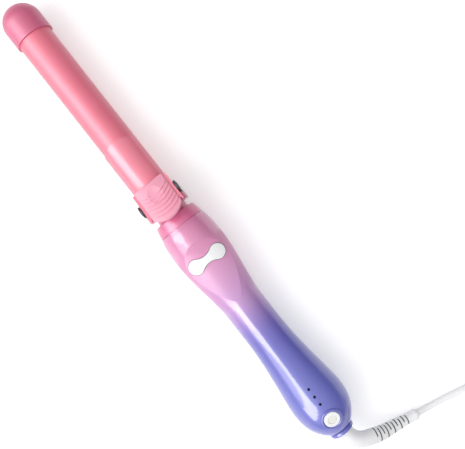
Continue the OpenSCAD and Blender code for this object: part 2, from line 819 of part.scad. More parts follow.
module grip_rings() {
    for (i = [0 : groove_count - 1])
        translate([first_groove - i * groove_pitch + groove_r, 0, bridge_top]) difference() {
            cylinder(r = groove_r + groove_w / 2, h = 2 * pad_t + over);
            translate([0, 0, -over]) cylinder(r = groove_r - groove_w / 2, h = 2 * pad_t + 4 * over);
        }
}

module lever_screw_places() lever_frame()
    for (side = [-1, 1]) translate([lever_screw_at[0], side * lever_screw_at[1], 0]) children();

module lever_pad() color("pink") difference() {
    lever_frame() {
        pad_block(groove_depth);
        difference() {
            pad_block();
            grip_rings();
            dish_r = (dish_reach * dish_reach + groove_depth * groove_depth) / (2 * groove_depth);
            translate([1.5, 0, bridge_top + pad_t - groove_depth + dish_r])
                sphere(r = dish_r, $fn = 180);
        }
    }
    lever_screw_places() translate([0, 0, bridge_top])
        cylinder(r = screw_r + fit, h = 1.4, $fn = 24);
}

module lever_screws() color("silver") lever_screw_places() {
    translate([0, 0, bridge_z - 0.1]) cylinder(r = screw_r, h = cheek_t + 1.4, $fn = 24);
    translate([0, 0, bridge_z - 1.1]) cylinder(r = 1.8, h = 1.1 - 0.02, $fn = 24);
}

// Spindle and drive

module spindle() color("silver") difference() {
    union() {
        bar(hub_rear - 2, 2, hub_r - 1);
        bar(seam_x - coupling_at - coupling_l / 2, hub_rear - 1 - seam_x + coupling_at + coupling_l / 2, spindle_r);
    }
    bar(seam_x - coupling_at - over, hub_rear - seam_x + coupling_at + 2 * over, spindle_bore);
}

module slip_ring_core() color("ivory")
    bar(seam_x - core_at - core_l, core_l, core_r, spindle_r + fit);

module slip_rings() color("peru") for (i = [0 : 2])
    bar(seam_x - core_at - 1.2 - contact_ring_l - i * contact_ring_pitch, contact_ring_l,
        contact_ring_r, core_r + fit);

module home_cam() color("black") difference() {
    bar(seam_x - cam_at - cam_l, cam_l, cam_r, spindle_r + fit);
    behind_seam(cam_at + cam_l + over) translate([0, -1.5, -cam_r - 1]) cube([cam_l + 2 * over, 3, 1.6]);
}

module drive_coupling() color("dimgray") difference() {
    bar(seam_x - coupling_at - coupling_l, coupling_l, coupling_r, shaft_r + fit);
    bar(seam_x - coupling_at - coupling_l / 2 - fit, coupling_l / 2 + over, spindle_r + fit);
    for (side = [-1, 1]) translate([seam_x - coupling_at - coupling_l + 2, 0, axis_z])
        rotate([side * 90, 0, 0]) cylinder(r = 0.8, h = coupling_r + over, $fn = 24);
}

module output_shaft() color("silver")
    bar(seam_x - coupling_at - coupling_l / 2 - 0.5 - shaft_l, shaft_l, shaft_r);

// Handle

// A post that stands on the lower shell's inner wall
module lower_post(u, y, r, top) {
    intersection() {
        behind_seam(u) translate([0, y, -belly_r]) cylinder(r = r, h = belly_r + top, $fn = 32);
        handle_form(wall / 2);
    }
}

module upper_shell() color("orchid") difference() {
    union() {
        difference() {
            intersection() {
                union() {
                    handle_form();
                    power_frame() rotate_extrude() polygon(concat(
                        [[0, -8], [bezel_r + 1.4, -8], [bezel_r + 0.6, -5], [bezel_r + 0.15, -2.5]],
                        [for (a = [0 : 15 : 90]) [bezel_r - 0.9 + 0.9 * cos(a), -0.9 + 0.9 * sin(a)]],
                        [[0, 0]]
                    ));
                }
                translate([rear_x - over, -belly_r - over, axis_z])
                    cube([handle_l + 2 * over, 2 * belly_r + 2 * over, 2 * belly_r]);
            }
            handle_room();
        }
        intersection() {
            power_frame() translate([0, 0, -guide_l]) cylinder(r = power_r + button_gap + 1.2, h = guide_l - 1);
            handle_form(wall / 2);
        }
        for (place = case_screws_at) for (side = [-1, 1]) intersection() {
            behind_seam(place[0]) translate([0, side * place[1], 0])
                cylinder(r = case_boss_r, h = belly_r, $fn = 32);
            handle_form(wall / 2);
        }
    }
    face_cut();
    behind_seam(rocker_at) linear_extrude(belly_r) rocker_outline(button_gap);
    power_frame() {
        translate([0, 0, -guide_l - over])
            cylinder(r = power_r + button_gap, h = guide_l + 3 * over);
        translate([0, 0, -0.4])
            cylinder(r1 = power_r + button_gap, r2 = power_r + button_gap + 0.8, h = 0.8);
    }
    led_places() cylinder(r = led_r + fit, h = belly_r + over, $fn = 32);
    bar(rear_x - over, rear_wall + 2 * over, neck_r + fit);
    case_screw_places() translate([0, 0, -over]) cylinder(r = screw_r + fit, h = case_screw_top + 1 + over, $fn = 24);
}

module lower_shell() color("mediumorchid") difference() {
    union() {
        difference() {
            intersection() {
                handle_form();
                translate([rear_x - over, -belly_r - over, -over])
                    cube([handle_l + 2 * over, 2 * belly_r + 2 * over, axis_z + over]);
            }
            handle_room();
        }
        for (place = case_screws_at) for (side = [-1, 1])
            lower_post(place[0], side * place[1], case_boss_r, 0);
        for (u = board_posts_at) for (side = [-1, 1])
            lower_post(u, side * post_y, post_r, main_low);
    }
    translate([rear_x - over, -belly_r, -5]) cube([handle_l + 2 * over, 2 * belly_r, 5]);
    bar(rear_x - over, rear_wall + 2 * over, neck_r + fit);
    case_screw_places() {
        translate([0, 0, -belly_r]) cylinder(r = screw_r + fit, h = belly_r + over, $fn = 24);
        translate([0, 0, -belly_r]) cylinder(r = screw_head_r + fit, h = belly_r + case_head_z, $fn = 32);
    }
    for (u = board_posts_at) for (side = [-1, 1]) behind_seam(u)
        translate([0, side * post_y, main_low - 6]) cylinder(r = screw_r + fit, h = 6 + over, $fn = 24);
}

module case_screw_places() {
    for (place = case_screws_at) for (side = [-1, 1])
        behind_seam(place[0]) translate([0, side * place[1], 0]) children();
}

module case_screws() color("silver") case_screw_places() {
    translate([0, 0, case_head_z]) cylinder(r = screw_r, h = case_screw_top - case_head_z, $fn = 24);
    translate([0, 0, case_head_z - 1.6]) cylinder(r = screw_head_r, h = 1.6, $fn = 32);
}

module nose_collar() color("hotpink") difference() {
    lathe([
        [collar_x, hub_r + 0.4], [collar_x, collar_r - 0.8], [collar_x - 0.3, collar_r - 0.25],
        [collar_x - 0.9, collar_r], [collar_x - collar_l * 0.55, (collar_r + nose_r) / 2 + 0.12],
        [seam_x + 0.2, nose_r - 0.1], [seam_x + 0.2, nose_r - wall - seat],
        [seam_x - 4, nose_r - wall - seat], [seam_x - 4, nose_r - wall - 1.6],
        [collar_x - 2.5, hub_r + 1.6], [collar_x - 2.5, hub_r + 0.4]
    ]);
}

// A wall across the handle's room, which stays below the control face where asked to
module cross_wall(u, l, below_face = true) {
    intersection() {
        lathe([
            [seam_x - u - l, 0], [seam_x - u - l, handle_r(u + l) - wall - seat],
            [seam_x - u, handle_r(u) - wall - seat], [seam_x - u, 0]
        ]);
        translate([0, 0, below_face ? face_top - face_cross_r : 0])
            bar(seam_x - u - l - over, l + 2 * over, face_cross_r - wall - seat);
    }
}

module front_bulkhead() color("gray") difference() {
    cross_wall(front_bulkhead_at, bulkhead_t, false);
    bar(seam_x - front_bulkhead_at - bulkhead_t - over, bulkhead_t + 2 * over, bearing_r + fit);
}
module rear_bulkhead() color("gray") difference() {
    cross_wall(rear_bulkhead_at, bulkhead_t);
    bar(seam_x - rear_bulkhead_at - bulkhead_t - over, bulkhead_t + 2 * over, bearing_r + fit);
}

// A flanged bearing bush round the spindle
module bush(u) {
    bar(seam_x - u - bulkhead_t, bulkhead_t, bearing_r, spindle_r + fit);
    bar(seam_x - u, 1, bearing_r + 1.2, spindle_r + fit);
}
module front_bearing() color("goldenrod") bush(front_bulkhead_at);
module rear_bearing() color("goldenrod") bush(rear_bulkhead_at);

brush_size = [2.2, 3, 8];
brush_top = -contact_ring_r - 0.12;
function brush_u(i) = core_at + 1.2 + contact_ring_l / 2 + i * contact_ring_pitch;

module brush_holder() color("darkslategray") difference() {
    intersection() {
        union() {
            behind_seam(core_at + core_l + 0.5) translate([0, -6, -belly_r])
                cube([core_l + 1, 12, belly_r - contact_ring_r - 1.2]);
            behind_seam(cam_at + cam_l + 4) translate([0, -6, -belly_r])
                cube([cam_l + 8, 12, belly_r - cam_r - 8]);
        }
        handle_room(wall + seat);
    }
    for (i = [0 : 2]) behind_seam(brush_u(i))
        translate([-brush_size[0] / 2 - fit, -brush_size[1] / 2 - fit, brush_top - brush_size[2] - fit])
            cube([brush_size[0] + 2 * fit, brush_size[1] + 2 * fit, 20]);
}

module brushes() color("black") for (i = [0 : 2]) behind_seam(brush_u(i))
    translate([-brush_size[0] / 2, -brush_size[1] / 2, brush_top - brush_size[2]]) cube(brush_size);

module home_switch() color("black") behind_seam(cam_at + cam_l / 2) {
    translate([-3, -3.2, -cam_r - 8 + fit]) cube([6, 6.4, 6.6]);
    translate([-0.8, -0.8, -cam_r - 1.5]) cube([1.6, 1.6, 1.3]);
}

module motor_plate() color("silver") difference() {
    cross_wall(gearbox_at - 2, 2);
    bar(seam_x - gearbox_at - over, 2 + 2 * over, shaft_r + 1.5);
    motor_screw_places() bar(-over, 2 + 2 * over, screw_r + fit);
}
module motor_screw_places()
    for (side = [-1, 1]) translate([seam_x - gearbox_at, side * 6.3, 0]) children();
module motor_screws() color("dimgray") motor_screw_places() {
    bar(-4, 6, screw_r);
    bar(2, 1.2, screw_head_r - 0.2);
}

module gearbox() color("gold") difference() {
    lathe([
        [seam_x - motor_at, 0], [seam_x - motor_at, gearbox_r], [seam_x - motor_at + 4, gearbox_r],
        [seam_x - motor_at + 4.5, gearbox_r - 0.4], [seam_x - motor_at + 5, gearbox_r],
        [seam_x - gearbox_at - 6, gearbox_r], [seam_x - gearbox_at - 5.5, gearbox_r - 0.4],
        [seam_x - gearbox_at - 5, gearbox_r], [seam_x - gearbox_at, gearbox_r], [seam_x - gearbox_at, 0]
    ]);
    bar(seam_x - gearbox_at - 8, 8 + over, shaft_r + fit);
    motor_screw_places() bar(-4.5, 4.5 + over, screw_r + fit);
}

module motor() color("lightsteelblue") {
    lathe([
        [seam_x - motor_at - motor_l, 0], [seam_x - motor_at - motor_l, motor_r - 1],
        [seam_x - motor_at - motor_l + 1, motor_r], [seam_x - motor_at - 1, motor_r],
        [seam_x - motor_at, motor_r - 1], [seam_x - motor_at, 0]
    ]);
    bar(seam_x - motor_at - motor_l - 2, 2 + over, 3);
    for (side = [-1, 1]) behind_seam(motor_at + motor_l + 4)
        translate([0, side * 6 - 1, -0.3]) cube([4 + over, 2, 0.6]);
}

module motor_sleeve() color("black")
    bar(seam_x - sleeve_at - sleeve_l, sleeve_l, waist_r - wall - seat, motor_r + fit);

// Rocker and its board

module direction_board() color("darkgreen") intersection() {
    behind_seam(rocker_at) translate([-direction_board_l / 2, -belly_r, board_low])
        cube([direction_board_l, 2 * belly_r, board_t]);
    handle_room(wall + seat);
}

module direction_switches() color("dimgray") behind_seam(rocker_at)
    for (side = [-1, 1]) translate([0, side * switch_half_span, board_low + board_t]) {
        translate([-switch_size[0] / 2, -switch_size[1] / 2, 0]) cube(switch_size);
        cylinder(r = 1.4, h = switch_size[2] + 0.2, $fn = 24);
    }

module rocker_bracket() color("silver") behind_seam(rocker_at) {
    for (side = [-1, 1]) difference() {
        translate([side * 2.6 - 0.5, -2, board_low + board_t]) cube([1, 4, pivot_low + 1.6 - board_low - board_t]);
        translate([side * 2.6 - 1, 0, pivot_low]) rotate([0, 90, 0])
            cylinder(r = rocker_pin_r + fit, h = 2, $fn = 24);
    }
    translate([-3.4, 0, pivot_low]) rotate([0, 90, 0]) cylinder(r = rocker_pin_r, h = 6.8, $fn = 24);
}

module rocker_button() color("white") difference() {
    union() {
        difference() {
            behind_seam(rocker_at) translate([0, 0, rocker_floor]) linear_extrude(belly_r) rocker_outline();
            face_ring(rocker_rise);
        }
        behind_seam(rocker_at) translate([-1.5, 0, pivot_low]) rotate([0, 90, 0])
            cylinder(r = 1.5, h = 3, $fn = 32);
        behind_seam(rocker_at) translate([-1.5, -1.5, pivot_low]) cube([3, 3, 3.2]);
    }
    difference() {
        behind_seam(rocker_at) translate([-lobe_r, -2.6, rocker_floor - over])
            cube([2 * lobe_r, 5.2, 2.2 + over]);
        behind_seam(rocker_at) translate([-1.5, -1.5, pivot_low - 3]) cube([3, 3, 8]);
    }
    behind_seam(rocker_at) translate([-4, 0, pivot_low]) rotate([0, 90, 0])
        cylinder(r = rocker_pin_r + fit, h = 8, $fn = 24);
}

// Main board and its parts

board_posts_at = [main_at + 4, main_at + main_l - 6];

module circuit_board() color("darkgreen") difference() {
    intersection() {
        behind_seam(main_at + main_l) translate([0, -main_half, main_low]) cube([main_l, 2 * main_half, main_t]);
        handle_room(wall + seat);
    }
    for (u = board_posts_at) for (side = [-1, 1]) behind_seam(u)
        translate([0, side * post_y, main_low - over]) cylinder(r = screw_r + fit, h = main_t + 2 * over, $fn = 24);
}

module board_parts() color("royalblue") {
    // Relay and wire connector below the board, triac and capacitor on it
    behind_seam(main_at + relay_at + relay_size[0])
        translate([0, -relay_size[1] / 2, main_low - relay_size[2]]) cube(relay_size - [0, 0, 0.02]);
    behind_seam(main_at + connector_at + connector_size[0])
        translate([0, -connector_size[1] / 2, main_low - connector_size[2]])
            cube(connector_size - [0, 0, 0.02]);
    behind_seam(main_at + triac_at + triac_size[0])
        translate([0, -triac_size[1] / 2, main_low + main_t + 0.02]) cube(triac_size);
    behind_seam(main_at + capacitor_at + capacitor_l) {
        translate([0, capacitor_y, main_low + main_t + capacitor_r + 0.3]) rotate([0, 90, 0])
            cylinder(r = capacitor_r, h = capacitor_l);
        translate([capacitor_l / 3, capacitor_y - 1, main_low + main_t + 0.02])
            cube([capacitor_l / 3, 2, capacitor_r / 2]);
    }
    // The three indicator diodes under their lenses
    led_places() translate([0, 0, main_low + main_t + 0.02]) cylinder(r = 1.5, h = 1.8, $fn = 24);
}

module board_screws() color("silver") for (u = board_posts_at) for (side = [-1, 1])
    behind_seam(u) translate([0, side * post_y, 0]) {
        translate([0, 0, main_low - 5]) cylinder(r = screw_r, h = 5 + main_t + 0.5, $fn = 24);
        translate([0, 0, main_low + main_t + 0.02]) cylinder(r = screw_head_r, h = 1.2, $fn = 24);
    }

module led_places()
    for (i = [-1 : 1]) behind_seam(led_at + i * led_pitch) children();

// Each lens is a light pipe from its diode to the surface, with a small foot inside
module led_lenses() color("black") intersection() {
    led_places() union() {
        translate([0, 0, main_low + main_t + 2]) cylinder(r = led_r, h = belly_r, $fn = 32);
        translate([0, 0, main_low + main_t + 2]) cylinder(r = led_r + 0.5, h = 3, $fn = 32);
    }
    handle_form(-0.15);
}

// Power button

module power_button() color("white") difference() {
    power_frame() union() {
        translate([0, 0, -3]) cylinder(r = power_r, h = 2.8);
        translate([0, 0, -0.3]) cylinder(r1 = power_r, r2 = power_r - 0.5, h = 0.5);
    }
    power_frame() translate([0, 0, -0.6]) cylinder(r = power_r * 0.56 + fit, h = over + 1);
}

module power_lens() color("cornsilk") power_frame()
    translate([0, 0, -0.55]) cylinder(r1 = power_r * 0.56, r2 = power_r * 0.5, h = 0.6);

module power_switch() color("dimgray") power_frame() {
    translate([0, 0, -4.12]) cylinder(r = 1.75, h = 0.22, $fn = 32);
    translate([-3, -3, -6.1]) cube([6, 6, 2]);
    translate([0, 0, -7.1]) cylinder(r = power_r + button_gap - 0.1, h = 1.02);
}

// Tail

module tail_ring() color("mediumslateblue") difference() {
    lathe([
        [end_x, 0], [end_x, ring_r - 1], [end_x + 0.3, ring_r - 0.3], [end_x + 1, ring_r],
        [rear_x - groove_l - 0.8, ring_r], [rear_x - groove_l - 0.2, ring_r - 0.4],
        [rear_x - groove_l, ring_r - 1], [rear_x - groove_l, neck_r],
        [rear_x + rear_wall + seat, neck_r], [rear_x + rear_wall + seat, lip_r],
        [rear_x + rear_wall + seat + lip_l, lip_r], [rear_x + rear_wall + seat + lip_l, 0]
    ]);
    bar(end_x - over, ring_l + rear_wall + lip_l + 3 * over, stem_r + fit);
}

module swivel_stem() color("white") {
    lip_x = rear_x + rear_wall + seat + lip_l;
    bar(end_x - relief_from, lip_x + 0.4 - end_x + relief_from, stem_r);
    bar(lip_x + 0.2, 1.6, stem_flange_r);
    difference() {
        bar(lip_x + 1.6, end_x + stem_in - lip_x, stem_core_r);
        for (i = [0, 1]) bar(lip_x + 2.6 + 3 * i, 1.6, stem_core_r + over, stem_core_r - 0.8);
    }
    stem_contacts();
}

// The two contact rings of the swivel, pressed into grooves of the stem
module stem_contacts() {
    lip_x = rear_x + rear_wall + seat + lip_l;
    for (i = [0, 1]) bar(lip_x + 2.6 + 3 * i, 1.6, stem_ring_r, stem_core_r - 0.8);
}

module contact_block() color("darkslategray") {
    lip_x = rear_x + rear_wall + seat + lip_l;
    intersection() {
        translate([lip_x + 2.2, -5, axis_z - belly_r]) cube([8, 10, belly_r - stem_ring_r - 1.5]);
        handle_room(wall + seat);
    }
    for (i = [0, 1]) translate([lip_x + 2.8 + 3 * i, -1.5, axis_z - stem_ring_r - 1.6])
        cube([1.2, 3, 1.4]);
}

// Cord

// The relief's middle line by arc length, smoothed through its route
relief_line = smooth(placed(relief_route), 6);
relief_marks = running_length(relief_line);
relief_l = relief_marks[len(relief_marks) - 1];
function on_relief(at) = [for (axis = [0 : 2])
    lookup(at, [for (i = [0 : len(relief_line) - 1]) [relief_marks[i], relief_line[i][axis]]])];

// Sections of the relief, each a distance from its base, a radius and the side of its slot:
// a plain neck, a row of slots that change sides, and a cuff round the cord
relief_sections = concat(
    [[0, relief_base_r, 0], [1.2, relief_base_r, 0], [1.6, relief_base_r - 0.6, 0]],
    [for (i = [0 : 5]) [2 + i * (slots_from - 2) / 6,
        relief_smooth_r + 0.7 * (1 - ease((i + 1) / 4)), 0]],
    [for (row = [0 : slot_count - 1]) let (at = slots_from + row * slot_pitch,
            r = relief_smooth_r + (relief_end_r - relief_smooth_r) * row / slot_count,
            side = row % 2 == 0 ? 1 : -1)
        each [[at, r, 0], [at + 0.15, r, side], [at + slot_w - 0.15, r, side], [at + slot_w, r, 0]]],
    [[relief_l - 3.4, relief_end_r, 0], [relief_l - 2.6, relief_end_r, 0],
     [relief_l - 2.5, cuff_r, 0], [relief_l - 0.5, cuff_r, 0], [relief_l, cuff_r - 0.5, 0]]
);
function in_slot(side, a) = side != 0 && side * cos(a) > -0.35;
function relief_ring(section) =
    let (at = section[0], centre = on_relief(at) - (at == 0 ? [relief_from, 0, 0] : [0, 0, 0]),
         along = at < 1.5 ? [-1, 0, 0] : unit(on_relief(at + 0.6) - on_relief(at - 0.6)),
         across = unit(cross(along, [0, 0, 1])), up = cross(across, along))
    [for (k = [0 : relief_sides - 1]) let (a = (k + 0.5) * 360 / relief_sides)
        centre + (section[1] - (in_slot(section[2], a) ? slot_depth : 0))
            * (cos(a) * across + sin(a) * up)];

module strain_relief() color("whitesmoke")
    sweep(relief_sections, [for (one = relief_sections) relief_ring(one)], relief_sides);

module cord_run() color("white")
    tube_along(smooth(placed(run_route), 2), cord_d / 2, 10);

module cord_coil() color("white")
    sweep(coil_path, [for (i = [0 : len(coil_path) - 1])
        ring(coil_path[i], i == 0 ? [0, -1, 0] : i >= len(coil_path) - 2 ? plug_dir
            : ahead(coil_path, i), cord_d / 2, 6)], 6);

// A tie goes round the bundle of turns at an angle of the coil
tie_places = [[coil_layers * coil_turns * 360, 0.5], [coil_layers * coil_turns * 360 - 180, 0]];
module coil_ties() color("lightgray") for (tie = tie_places) {
    low = coil_z - cord_d / 2 - tie_gap + 0.2;
    high = coil_z + (coil_layers - 1 + tie[1]) * coil_pitch + cord_d / 2 + tie_gap;
    inner = coil_min_r - cord_d / 2 - tie_gap;
    outer = coil_r + cord_d / 2 + tie_gap;
    translate([coil_x, coil_y, 0]) rotate([0, 0, -tie[0]]) translate([0, tie_w / 2, 0])
        rotate([90, 0, 0]) linear_extrude(tie_w) difference() {
            translate([inner - tie_t, 0]) square([outer - inner + 2 * tie_t, high + tie_t]);
            translate([inner, low]) square([outer - inner, high - low]);
        }
}

module plug_frame() {
    translate([cord_end[0], cord_end[1], plug_z]) rotate([0, 0, plug_heading]) children();
}

module plug_body() color("white") plug_frame() {
    rotate([0, 90, 0]) cylinder(r1 = cord_d / 2 + 0.8, r2 = cord_d / 2 + 2, h = plug_cuff_l + 0.1, $fn = 32);
    translate([plug_cuff_l, 0, -plug_size[2] / 2]) linear_extrude(plug_size[2])
        union() {
            polygon([
                [0, -plug_size[1] * 0.3], [plug_size[0] * 0.45, -plug_size[1] / 2],
                [plug_size[0] - plug_cuff_l, -plug_size[1] / 2],
                [plug_size[0] - plug_cuff_l, plug_size[1] / 2],
                [plug_size[0] * 0.45, plug_size[1] / 2], [0, plug_size[1] * 0.3]
            ]);
        }
}

module plug_blades() color("silver") plug_frame()
    for (side = [-1, 1]) translate([plug_size[0], side * blade_span / 2 - blade_size[1] / 2, -blade_size[2] / 2])
        cube(blade_size);

tip_cap();
tip_insulator();
tip_screws();
barrel_tube();
heat_spreader_upper();
heat_spreader_lower();
heater_plate();
temperature_sensor();
thermal_fuse();
barrel_hub();
clamp_saddle();
saddle_rivets();
hinge_pin();
clamp_spring();
spindle();
slip_ring_core();
slip_rings();
home_cam();
drive_coupling();
output_shaft();
clamp_plate();
lever_pad();
lever_screws();
upper_shell();
lower_shell();
nose_collar();
front_bulkhead();
front_bearing();
rear_bulkhead();
rear_bearing();
brush_holder();
brushes();
home_switch();
motor_plate();
motor_screws();
gearbox();
motor();
motor_sleeve();
direction_board();
direction_switches();
rocker_bracket();
rocker_button();
circuit_board();
board_parts();
board_screws();
led_lenses();
power_switch();
power_button();
power_lens();
case_screws();
tail_ring();
contact_block();
swivel_stem();
strain_relief();
cord_run();
cord_coil();
coil_ties();
plug_body();
plug_blades();
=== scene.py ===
# %% [markdown]
# # Dressing a rotating curling iron
# The frame below is the iron as it is built: barrel, clamp, handle, buttons, motor and cord,
# each at its real size. This lesson leaves all of it where it is. It makes the lead, its strain
# relief, the case screws and the clamp spring anew in the same places, and gives every surface
# the finish that the eye expects: satin metal, glossy lacquer that fades from pink to blue, and
# soft white rubber on the lead.

# %% Load the frame
import math

import bmesh
import bpy
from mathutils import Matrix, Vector
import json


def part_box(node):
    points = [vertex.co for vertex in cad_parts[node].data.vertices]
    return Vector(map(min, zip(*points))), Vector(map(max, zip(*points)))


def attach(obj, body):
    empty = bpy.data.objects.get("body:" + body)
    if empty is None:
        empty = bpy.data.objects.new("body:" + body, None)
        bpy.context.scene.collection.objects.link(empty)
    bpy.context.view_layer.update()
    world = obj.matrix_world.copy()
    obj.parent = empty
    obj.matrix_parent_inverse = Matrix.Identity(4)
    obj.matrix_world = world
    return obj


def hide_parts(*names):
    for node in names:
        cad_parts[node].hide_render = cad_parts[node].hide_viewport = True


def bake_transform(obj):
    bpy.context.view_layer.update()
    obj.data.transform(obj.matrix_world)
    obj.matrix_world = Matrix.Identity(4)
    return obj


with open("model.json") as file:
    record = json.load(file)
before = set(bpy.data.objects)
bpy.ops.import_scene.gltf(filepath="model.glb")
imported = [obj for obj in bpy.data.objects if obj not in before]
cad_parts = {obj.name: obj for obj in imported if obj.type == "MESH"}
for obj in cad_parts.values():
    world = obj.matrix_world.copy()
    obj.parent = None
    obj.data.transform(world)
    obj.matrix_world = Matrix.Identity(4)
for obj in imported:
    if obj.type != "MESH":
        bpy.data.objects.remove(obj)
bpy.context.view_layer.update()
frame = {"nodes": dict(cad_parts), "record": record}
nodes = frame["nodes"]
MM = 0.001
MERGE = 0.001 * MM
print(f"the frame holds {len(nodes)} nodes")

# %% [markdown]
# The iron lies along X with its tip towards +X. Its long axis runs through the middle of the
# barrel tube, so the height of that axis, and the places of the tip and the tail, are read from
# the frame instead of being written again here.

# %% Landmarks of the iron
barrel_low, barrel_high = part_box("barrel_tube")
AXIS_Z = (barrel_low.z + barrel_high.z) / 2
TIP_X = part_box("tip_cap")[1].x
TAIL_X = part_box("tail_ring")[0].x
print(f"axis {AXIS_Z / MM:.2f} mm high, iron {(TIP_X - TAIL_X) / MM:.1f} mm long")

# %% [markdown]
# ## Camera
# The picture was taken from straight above, with the iron lying diagonally across the frame.
# A camera that looks down needs only a height, a place over the table and a turn about Z. The
# focal length is written as the real thing behaves: so many pixels for the width of the frame.

# %% Camera
FRAME_WIDTH = 465
FOCAL_PIXELS = 640
SENSOR_WIDTH = 36
CAMERA_PLACE = (-26.55 * MM, -28 * MM, 464.1 * MM)
CAMERA_TURN = -128.14

camera_data = bpy.data.cameras.new("camera")
camera_data.sensor_width = SENSOR_WIDTH
camera_data.lens = SENSOR_WIDTH * FOCAL_PIXELS / FRAME_WIDTH
camera_data.clip_start = 0.01
camera = bpy.data.objects.new("camera", camera_data)
camera.location = CAMERA_PLACE
camera.rotation_euler = (0, 0, math.radians(CAMERA_TURN))
bpy.context.scene.collection.objects.link(camera)
bpy.context.scene.camera = camera
print(f"lens {camera_data.lens:.1f} mm")

# %% [markdown]
# ## Lead
# The lead leaves the tail through its strain relief, runs over the table in one easy curve and
# goes out of the picture. The part that nobody sees is wound into a neat coil of four layers, as
# it would be for storage, and ends in its plug. The visible route is a short list of points; the
# coil is a spiral that goes in and out and climbs a layer at each turning point, so a loop works
# it out.

# %% Route of the lead
CORD_D = 4.6 * MM
ROUTE_STEPS = 4
RELIEF_ROUTE = [
    (0, 0, 19.1), (-4.4, -0.6, 19.1), (-8.5, -2.3, 18.9), (-12, -5, 18.3), (-14.5, -8.1, 17.4),
    (-17, -12.7, 15.8), (-19.3, -17.6, 14), (-21.3, -23, 12), (-23, -28.7, 10.1),
    (-24.6, -34.5, 8.5), (-26.1, -40.5, 7.1), (-27.4, -46, 6.1),
]
RUN_ROUTE = [
    (-27.4, -46, 6.1), (-28.5, -50.5, 5), (-29.8, -56, 3.9), (-31.2, -62, 3.2),
    (-32.6, -69, 2.9), (-34.2, -77, 2.9), (-35.9, -86, 3.1), (-37.6, -95, 3.3),
    (-38.8, -104, 3.4), (-39.4, -111, 3.4), (-39.6, -118, 3.4),
]


def from_tail(route):
    """A route in millimetres from the tail's face, as points in the iron's own frame."""
    return [Vector((TAIL_X + x * MM, y * MM, z * MM)) for x, y, z in route]


def smooth(points, steps):
    """A Catmull-Rom curve through the points, with so many steps in each span."""
    line = []
    for i in range(len(points) - 1):
        a, b, c = points[max(i - 1, 0)], points[i], points[i + 1]
        d = points[min(i + 2, len(points) - 1)]
        for k in range(steps):
            t = k / steps
            line.append(0.5 * (2 * b + (c - a) * t + (2 * a - 5 * b + 4 * c - d) * t * t
                               + (3 * b - a - 3 * c + d) * t * t * t))
    return line + [points[-1]]


relief_line = smooth(from_tail(RELIEF_ROUTE), ROUTE_STEPS)
run_line = smooth(from_tail(RUN_ROUTE), ROUTE_STEPS)
print(f"visible lead: {len(relief_line) + len(run_line)} points")

# %% The stored coil
COIL_PITCH = 5.5 * MM
COIL_INNER_R = 20 * MM
COIL_TURNS = 3.15
COIL_LAYERS = 4
COIL_STEPS = 48
CLIMB = 90
TAIL_BEND_R = 21 * MM
TAIL_BEND = 90
TAIL_BEND_STEP = 10
TAIL_STRAIGHT = 5 * MM
PLUG_Z = (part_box("plug_body")[0].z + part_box("plug_body")[1].z) / 2

coil_r = COIL_INNER_R + COIL_TURNS * COIL_PITCH
coil_start = run_line[-1]
coil_centre = Vector((coil_start.x - coil_r, coil_start.y, coil_start.z))
leg = COIL_TURNS * 360
coil_end = COIL_LAYERS * leg + CLIMB


def ease(t):
    """A smooth step from 0 to 1."""
    c = min(1, max(0, t))
    return c * c * (3 - 2 * c)


def coil_point(angle):
    """A point of the coil: it spirals in and out, and climbs where it turns back."""
    count, part = divmod(angle, leg)
    wound = part if count % 2 == 0 else leg - part
    r = coil_r - COIL_PITCH * wound / 360
    climbs = sum(ease((angle - n * leg + CLIMB) / (2 * CLIMB)) for n in range(1, COIL_LAYERS + 1))
    a = math.radians(angle)
    return coil_centre + Vector((r * math.cos(a), -r * math.sin(a), COIL_PITCH * climbs))


bend_from = coil_point(coil_end)
turned = math.radians(coil_end)
bend_centre = bend_from - TAIL_BEND_R * Vector((math.cos(turned), -math.sin(turned), 0))


def bend_point(angle):
    """A point of the last bend, which turns inwards over the coil and rises to the plug."""
    a = turned + math.radians(angle)
    rise = (PLUG_Z - bend_from.z) * ease(angle / TAIL_BEND)
    return bend_centre + Vector((TAIL_BEND_R * math.cos(a), -TAIL_BEND_R * math.sin(a), rise))


steps = int(coil_end * COIL_STEPS / 360)
coil_line = [coil_point(i * 360 / COIL_STEPS) for i in range(1, steps + 1)]
plug_turn = -(turned + math.radians(TAIL_BEND)) - math.pi / 2
plug_way = Vector((math.cos(plug_turn), math.sin(plug_turn), 0))
bend_line = [bend_point(a) for a in range(TAIL_BEND_STEP, TAIL_BEND + 1, TAIL_BEND_STEP)]
plug_at = bend_line[-1] + TAIL_STRAIGHT * plug_way
lead_line = relief_line + run_line[1:] + coil_line + bend_line + [plug_at]

# %% Lead as one tube
def tube(name, line, radius, sides=16):
    """A round mesh tube with closed ends along a line of points."""
    curve = bpy.data.curves.new(name, "CURVE")
    curve.dimensions = "3D"
    curve.bevel_depth = radius
    curve.bevel_resolution = sides // 4
    curve.use_fill_caps = True
    spline = curve.splines.new("POLY")
    spline.points.add(len(line) - 1)
    for point, place in zip(spline.points, line):
        point.co = (*place, 1)
    spline.use_smooth = True
    maker = bpy.data.objects.new(name + " curve", curve)
    bpy.context.scene.collection.objects.link(maker)
    made = bpy.data.objects.new(name, bpy.data.meshes.new_from_object(maker))
    bpy.data.objects.remove(maker)
    bpy.context.scene.collection.objects.link(made)
    return made


lead = tube("lead", lead_line, CORD_D / 2)
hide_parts("cord_run", "cord_coil")
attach(lead, "cord")
print(f"lead: {len(lead.data.polygons)} faces")
